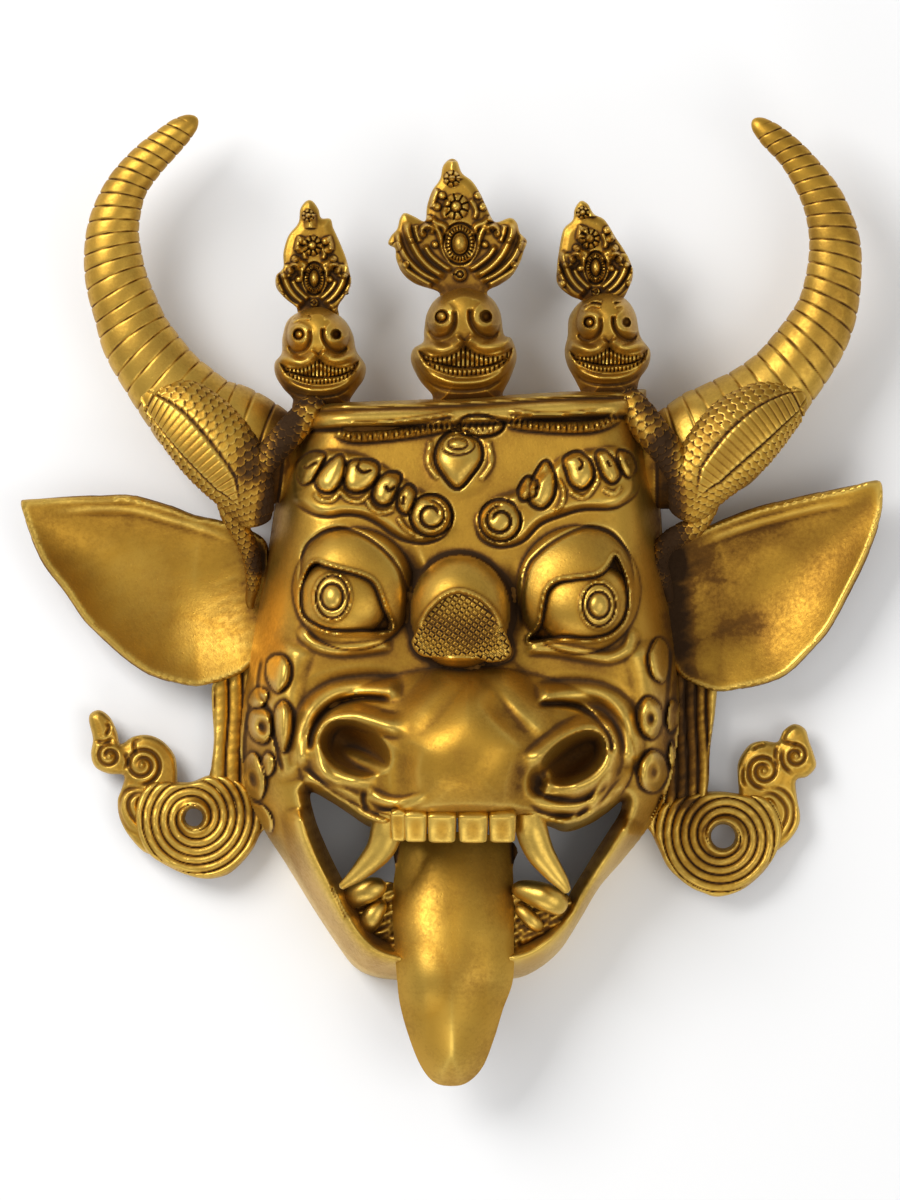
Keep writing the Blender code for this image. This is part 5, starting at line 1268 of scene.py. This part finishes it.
# %% Make the plates
for tag, side in SIDES:
    for form, make, wall, cell in (("ear", ear, EAR_WALL, 2.2), ("flange", flange, PENDANT_WALL, 1.4),
                                   ("coil", coil, PENDANT_WALL, 1.1), ("scroll", scroll, PENDANT_WALL, 0.9),
                                   ("gum", gum, GUM_WALL, 1.0)):
        outline, carve, *bored = make(side)
        hole = None
        if bored:
            (x, y), r = bored
            turn = np.linspace(0, 2 * math.pi, 37)[:-1]
            hole = np.column_stack([x + r * np.cos(turn), y + r * np.sin(turn)])
        plate(f"{tag}_{form}", outline, carve, wall, cell, 4 * cell, hole)
for tag, parts in zip(("left", "middle", "right"), SKULLS):
    outline, carve = skull(parts)
    plate(f"{tag}_skull", outline, carve, CROWN_WALL, 0.75, 4)
    outline, carve = leaf(parts)
    plate(f"{tag}_leaf", outline, carve, CROWN_WALL, 0.75, 4)
plate("tongue", smooth_line(TONGUE, closed=True), tongue_form, TONGUE_WALL, 1.8, 7)

# %% Make the bars
bar("left_horn", HORN_L, 72, 640, 0.86, horn_rings(-0.45))
bar("right_horn", HORN_R, 72, 640, 0.86, horn_rings(0.45))
bar("left_hood", HOOD_L, 150, 210, 0.56, hood_relief(1.16, rows=26))
bar("right_hood", HOOD_R, 150, 210, 0.56, hood_relief(1.72, rows=26))
for name, path, rows in (("left_neck", NECK_L, 15), ("right_neck", NECK_R, 16)):
    bar(name, path, 72, 130, relief=rope_scales(rows, 10, 1.8))
for name, path, rows in (("left_tail", TAIL_L, 20), ("right_tail", TAIL_R, 22)):
    bar(name, path, 64, 170, relief=rope_scales(rows, 8, 1.4, 0.75))
for name, path in (("left_fang", FANG_L), ("right_fang", FANG_R)):
    bar(name, path, 32, 60)
for k, (x, y, width) in enumerate(TEETH):
    path = [(x, y + 14, 180, width), (x, y, 169, width), (x, y - 18, 160, width - 1)]
    bar(f"tooth_{k + 1}", path, 40, 24, 0.62, blunt=0.1, square=5)
for k, path in enumerate(MOLARS):
    bar(f"lower_tooth_{k + 1}", path, 28, 30, blunt=0.15)
print(len(pieces), "pieces,", sum(len(p.data.loops) - 2 * len(p.data.polygons) for p in pieces),
      "triangles")

# %% [markdown]
# Antique brass
#
# Brass is a metal, so its colour comes from what it mirrors, and a single colour would look like paint.
# On the real mask three things change over the surface: the alloy is paler where it is rubbed, brown
# where it has aged, and nearly black and dull in the hollows. One node group mixes these from the
# measured hollows, together with the painted shade and painted highlight of the table's lines, so each
# piece takes the same finish with its own amount of dirt and painted shade. A second group gives the
# skin of the casting: fine grain, shallow dents and small pits.

# %% Node helpers
def group(name, inputs, outputs):
    tree = bpy.data.node_groups.new(name, "ShaderNodeTree")
    for label, kind, value in inputs:
        socket = tree.interface.new_socket(label, in_out="INPUT", socket_type=kind)
        socket.default_value = value
    for label, kind in outputs:
        tree.interface.new_socket(label, in_out="OUTPUT", socket_type=kind)
    return tree, tree.nodes.new("NodeGroupInput"), tree.nodes.new("NodeGroupOutput")


def node(tree, kind, links=(), **settings):
    """A node with its settings; links are (input name or number, where it comes from or a value)."""
    made = tree.nodes.new(kind)
    for key, value in settings.items():
        setattr(made, key, value)
    for key, value in links:
        if isinstance(value, bpy.types.NodeSocket):
            tree.links.new(value, made.inputs[key])
        else:
            made.inputs[key].default_value = value
    return made


def maths(tree, kind, *values, clamp=False):
    return node(tree, "ShaderNodeMath", list(enumerate(values)), operation=kind, use_clamp=clamp).outputs[0]


def remap(tree, value, low, high, to_low=0.0, to_high=1.0):
    made = node(tree, "ShaderNodeMapRange", [(0, value), (1, low), (2, high), (3, to_low), (4, to_high)])
    return made.outputs[0]


def noise(tree, place, scale, detail, coarse=0.5):
    links = [("Vector", place), ("Scale", scale), ("Detail", detail), ("Roughness", coarse)]
    return node(tree, "ShaderNodeTexNoise", links).outputs["Fac"]


def blend(tree, share, first, second):
    """Colours mixed by a share."""
    made = node(tree, "ShaderNodeMix", [(0, share), (6, first), (7, second)], data_type="RGBA")
    return made.outputs[2]


# %% The colour of aged brass, with painted shade and a painted highlight
# The brown and black colours serve patina and, along the table's lines, painted shade; the rubbed colour also
# serves the painted highlight.
PALE_BRASS, DEEP_BRASS = (0.50, 0.275, 0.036, 1), (0.41, 0.220, 0.028, 1)
RUBBED_AND_HIGHLIT_BRASS, BROWN_SKIN_AND_SHADE = (0.66, 0.43, 0.085, 1), (0.205, 0.093, 0.017, 1)
BLACK_DIRT_AND_SHADOW = (0.060, 0.030, 0.012, 1)
aged, given, out = group(
    "Aged brass", [("Dirt and shade", "NodeSocketFloat", 1.0), ("Polish and sheen", "NodeSocketFloat", 1.0)],
    [("Color", "NodeSocketColor"), ("Roughness", "NodeSocketFloat"), ("Metallic", "NodeSocketFloat")])
place = node(aged, "ShaderNodeTexCoord").outputs["Object"]
grime = node(aged, "ShaderNodeAttribute", attribute_name="grime").outputs["Fac"]
wear = node(aged, "ShaderNodeAttribute", attribute_name="wear").outputs["Fac"]
clouds = noise(aged, place, 22.0, 5.0, 0.6)
specks = noise(aged, place, 420.0, 3.0, 0.7)
uneven = remap(aged, clouds, 0.3, 0.7, -0.16, 0.30)
fine = remap(aged, specks, 0.3, 0.7, -0.10, 0.14)
# Darkening: patina from the hollows and painted shade from the table's lines, times the piece's amount, plus
# random tone.
dirt_and_shade = maths(aged, "MULTIPLY", grime, given.outputs["Dirt and shade"])
dirt_and_shade = maths(aged, "ADD", dirt_and_shade, maths(aged, "ADD", uneven, fine))
brown = remap(aged, dirt_and_shade, 0.0, 0.75)
black = remap(aged, dirt_and_shade, 0.55, 1.8)
# Brightening: rubbed edges and the painted highlight over the left ear.
bright = maths(aged, "MULTIPLY", remap(aged, wear, 0.05, 0.9), given.outputs["Polish and sheen"], clamp=True)
colour = blend(aged, remap(aged, clouds, 0.35, 0.7), PALE_BRASS, DEEP_BRASS)
colour = blend(aged, bright, colour, RUBBED_AND_HIGHLIT_BRASS)
colour = blend(aged, brown, colour, BROWN_SKIN_AND_SHADE)
colour = blend(aged, black, colour, BLACK_DIRT_AND_SHADOW)
dull = maths(aged, "ADD", remap(aged, specks, 0.3, 0.7, 0.42, 0.51),
             remap(aged, brown, 0.0, 1.0, 0.0, 0.16))
dull = maths(aged, "SUBTRACT", dull, maths(aged, "MULTIPLY", bright, 0.10))
dull = maths(aged, "ADD", dull, maths(aged, "MULTIPLY", black, 0.22), clamp=True)
aged.links.new(colour, out.inputs["Color"])
aged.links.new(dull, out.inputs["Roughness"])
aged.links.new(remap(aged, black, 0.0, 1.0, 1.0, 0.85), out.inputs["Metallic"])
print(aged.name, "has", len(aged.nodes), "nodes")

# %% The skin of the casting
skin, given, out = group(
    "Casting skin", [("Grain", "NodeSocketFloat", 0.5), ("Pits", "NodeSocketFloat", 0.5)],
    [("Height", "NodeSocketFloat")])
place = node(skin, "ShaderNodeTexCoord").outputs["Object"]
grain = noise(skin, place, 700.0, 4.0, 0.65)
dents = noise(skin, place, 90.0, 2.0)
holes = node(skin, "ShaderNodeTexVoronoi", [("Vector", place), ("Scale", 260.0)]).outputs["Distance"]
pit = remap(skin, holes, 0.05, 0.16, -1.0, 0.0)
height = maths(skin, "MULTIPLY", grain, given.outputs["Grain"])
height = maths(skin, "ADD", height, maths(skin, "MULTIPLY", dents, 0.8))
height = maths(skin, "ADD", height, maths(skin, "MULTIPLY", pit, given.outputs["Pits"]))
skin.links.new(height, out.inputs["Height"])
print(skin.name, "has", len(skin.nodes), "nodes")


# %% One brass for each amount of dirt and painted shade
def brass(name, dirt_and_shade=1.0, polish_and_sheen=1.0, grain=0.5, pits=0.25):
    made = bpy.data.materials.new(name)
    made.use_nodes = True
    tree = made.node_tree
    look = tree.nodes["Principled BSDF"]
    colour = node(tree, "ShaderNodeGroup", [("Dirt and shade", dirt_and_shade), ("Polish and sheen", polish_and_sheen)], node_tree=aged)
    cast = node(tree, "ShaderNodeGroup", [("Grain", grain), ("Pits", pits)], node_tree=skin)
    height = cast.outputs["Height"]
    bump = node(tree, "ShaderNodeBump", [("Height", height), ("Strength", 0.35), ("Distance", 0.0006)])
    for source, label, into in ((colour, "Color", "Base Color"), (colour, "Roughness", "Roughness"),
                                (colour, "Metallic", "Metallic"), (bump, "Normal", "Normal")):
        tree.links.new(source.outputs[label], look.inputs[into])
    return made


# %% [markdown]
# Which finish goes where
#
# The tongue and the teeth stand out and are rubbed most, so they are the cleanest and smoothest. The
# leaves, the snakes and the front of the knob keep more dirt, because their carving is too fine for a
# cloth.

# %% Give each piece its finish
FINISHES = {
    "face": brass("Face brass", 0.85),
    "knob": brass("Knob brass", 1.8, 0.6, 0.5, 0.2),
    "horn": brass("Horn brass", 1.1, 0.6, 0.5, 0.3),
    "skull": brass("Skull brass", 0.7, 1.0, 0.6, 0.4),
    "leaf": brass("Leaf brass", 1.35, 1.0, 0.6, 0.4),
    "snake": brass("Snake brass", 1.15, 1.0, 0.6, 0.3),
    "pendant": brass("Pendant brass", 0.85, 0.9, 0.6, 0.5),
    "ear": brass("Ear brass", 1.0, 0.9, 0.6, 0.3),
    "tongue": brass("Tongue brass", 0.7, 1.2, 0.35, 0.25),
    "tooth": brass("Tooth brass", 0.8, 1.2, 0.35, 0.15)}
KINDS = {"hood": "snake", "neck": "snake", "tail": "snake", "coil": "pendant",
         "scroll": "pendant", "flange": "pendant", "gum": "pendant", "fang": "tooth", "front": "knob"}
for made in pieces:
    kind = made.name.rstrip("_0123456789").split("_")[-1]
    made.data.materials.append(FINISHES[KINDS.get(kind, kind)])
print(len(FINISHES), "finishes on", len(pieces), "pieces")

# %% [markdown]
# Studio
#
# The mask lies on its back on a pale floor, so the camera that stood in front of it on a wall now looks
# straight down. A long lens far away keeps the sides parallel, as in the photograph. Metal shows its
# lights, so the lamps are large and soft: a strong one from the upper left, weak ones from the right
# and from below, and a pale dome all round.

# %% Floor, camera and lights
floor_mesh = bpy.data.meshes.new("floor")
floor_mesh.from_pydata([(-3, -3, 0), (3, -3, 0), (3, 3, 0), (-3, 3, 0)], [], [(0, 1, 2, 3)])
floor = bpy.data.objects.new("floor", floor_mesh)
bpy.context.scene.collection.objects.link(floor)
paper = bpy.data.materials.new("Pale paper")
paper.use_nodes = True
paper.node_tree.nodes["Principled BSDF"].inputs["Base Color"].default_value = (0.86, 0.86, 0.86, 1)
paper.node_tree.nodes["Principled BSDF"].inputs["Roughness"].default_value = 0.9
floor_mesh.materials.append(paper)

FAR = 6.0  # from the camera to the floor
FOCUS = 0.06  # height above the floor at which a square is one pixel of the picture
lens = bpy.data.cameras.new("camera")
lens.sensor_fit = "VERTICAL"
lens.sensor_height = 36
lens.lens = 36 * (FAR - FOCUS) / (1200 * SQUARE)
camera = bpy.data.objects.new("camera", lens)
camera.location = (-2 * SQUARE + ORIGIN[0], -1 * SQUARE + ORIGIN[1], FAR)
bpy.context.scene.collection.objects.link(camera)
bpy.context.scene.camera = camera


def lamp(name, at, size, power):
    """A soft lamp that looks at the middle of the face."""
    light = bpy.data.lights.new(name, "AREA")
    light.shape = "RECTANGLE"
    light.size, light.size_y = size
    light.energy = power
    made = bpy.data.objects.new(name, light)
    made.location = at
    made.rotation_euler = (Vector((0, 0, 0.05)) - Vector(at)).to_track_quat("-Z", "Y").to_euler()
    bpy.context.scene.collection.objects.link(made)


lamp("key", (-1.2, 0.9, 1.5), (1.1, 1.1), 34)
lamp("fill", (1.0, -0.5, 1.4), (1.2, 1.2), 7)
lamp("foot", (-0.3, -1.6, 0.9), (1.6, 0.6), 6)
world = bpy.data.worlds.new("Studio")
world.use_nodes = True
world.node_tree.nodes["Background"].inputs["Color"].default_value = (1, 1, 1, 1)
world.node_tree.nodes["Background"].inputs["Strength"].default_value = 0.5
bpy.context.scene.world = world
bpy.context.scene.view_settings.view_transform = "Standard"

# %% [markdown]
# Pieces on one body
#
# Nothing on the mask moves, so every piece rides on the one body, and together they stand for its one
# solid.

# %% Ride, replace and finish
for made in pieces:
    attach(made, "root")
    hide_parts("mask")
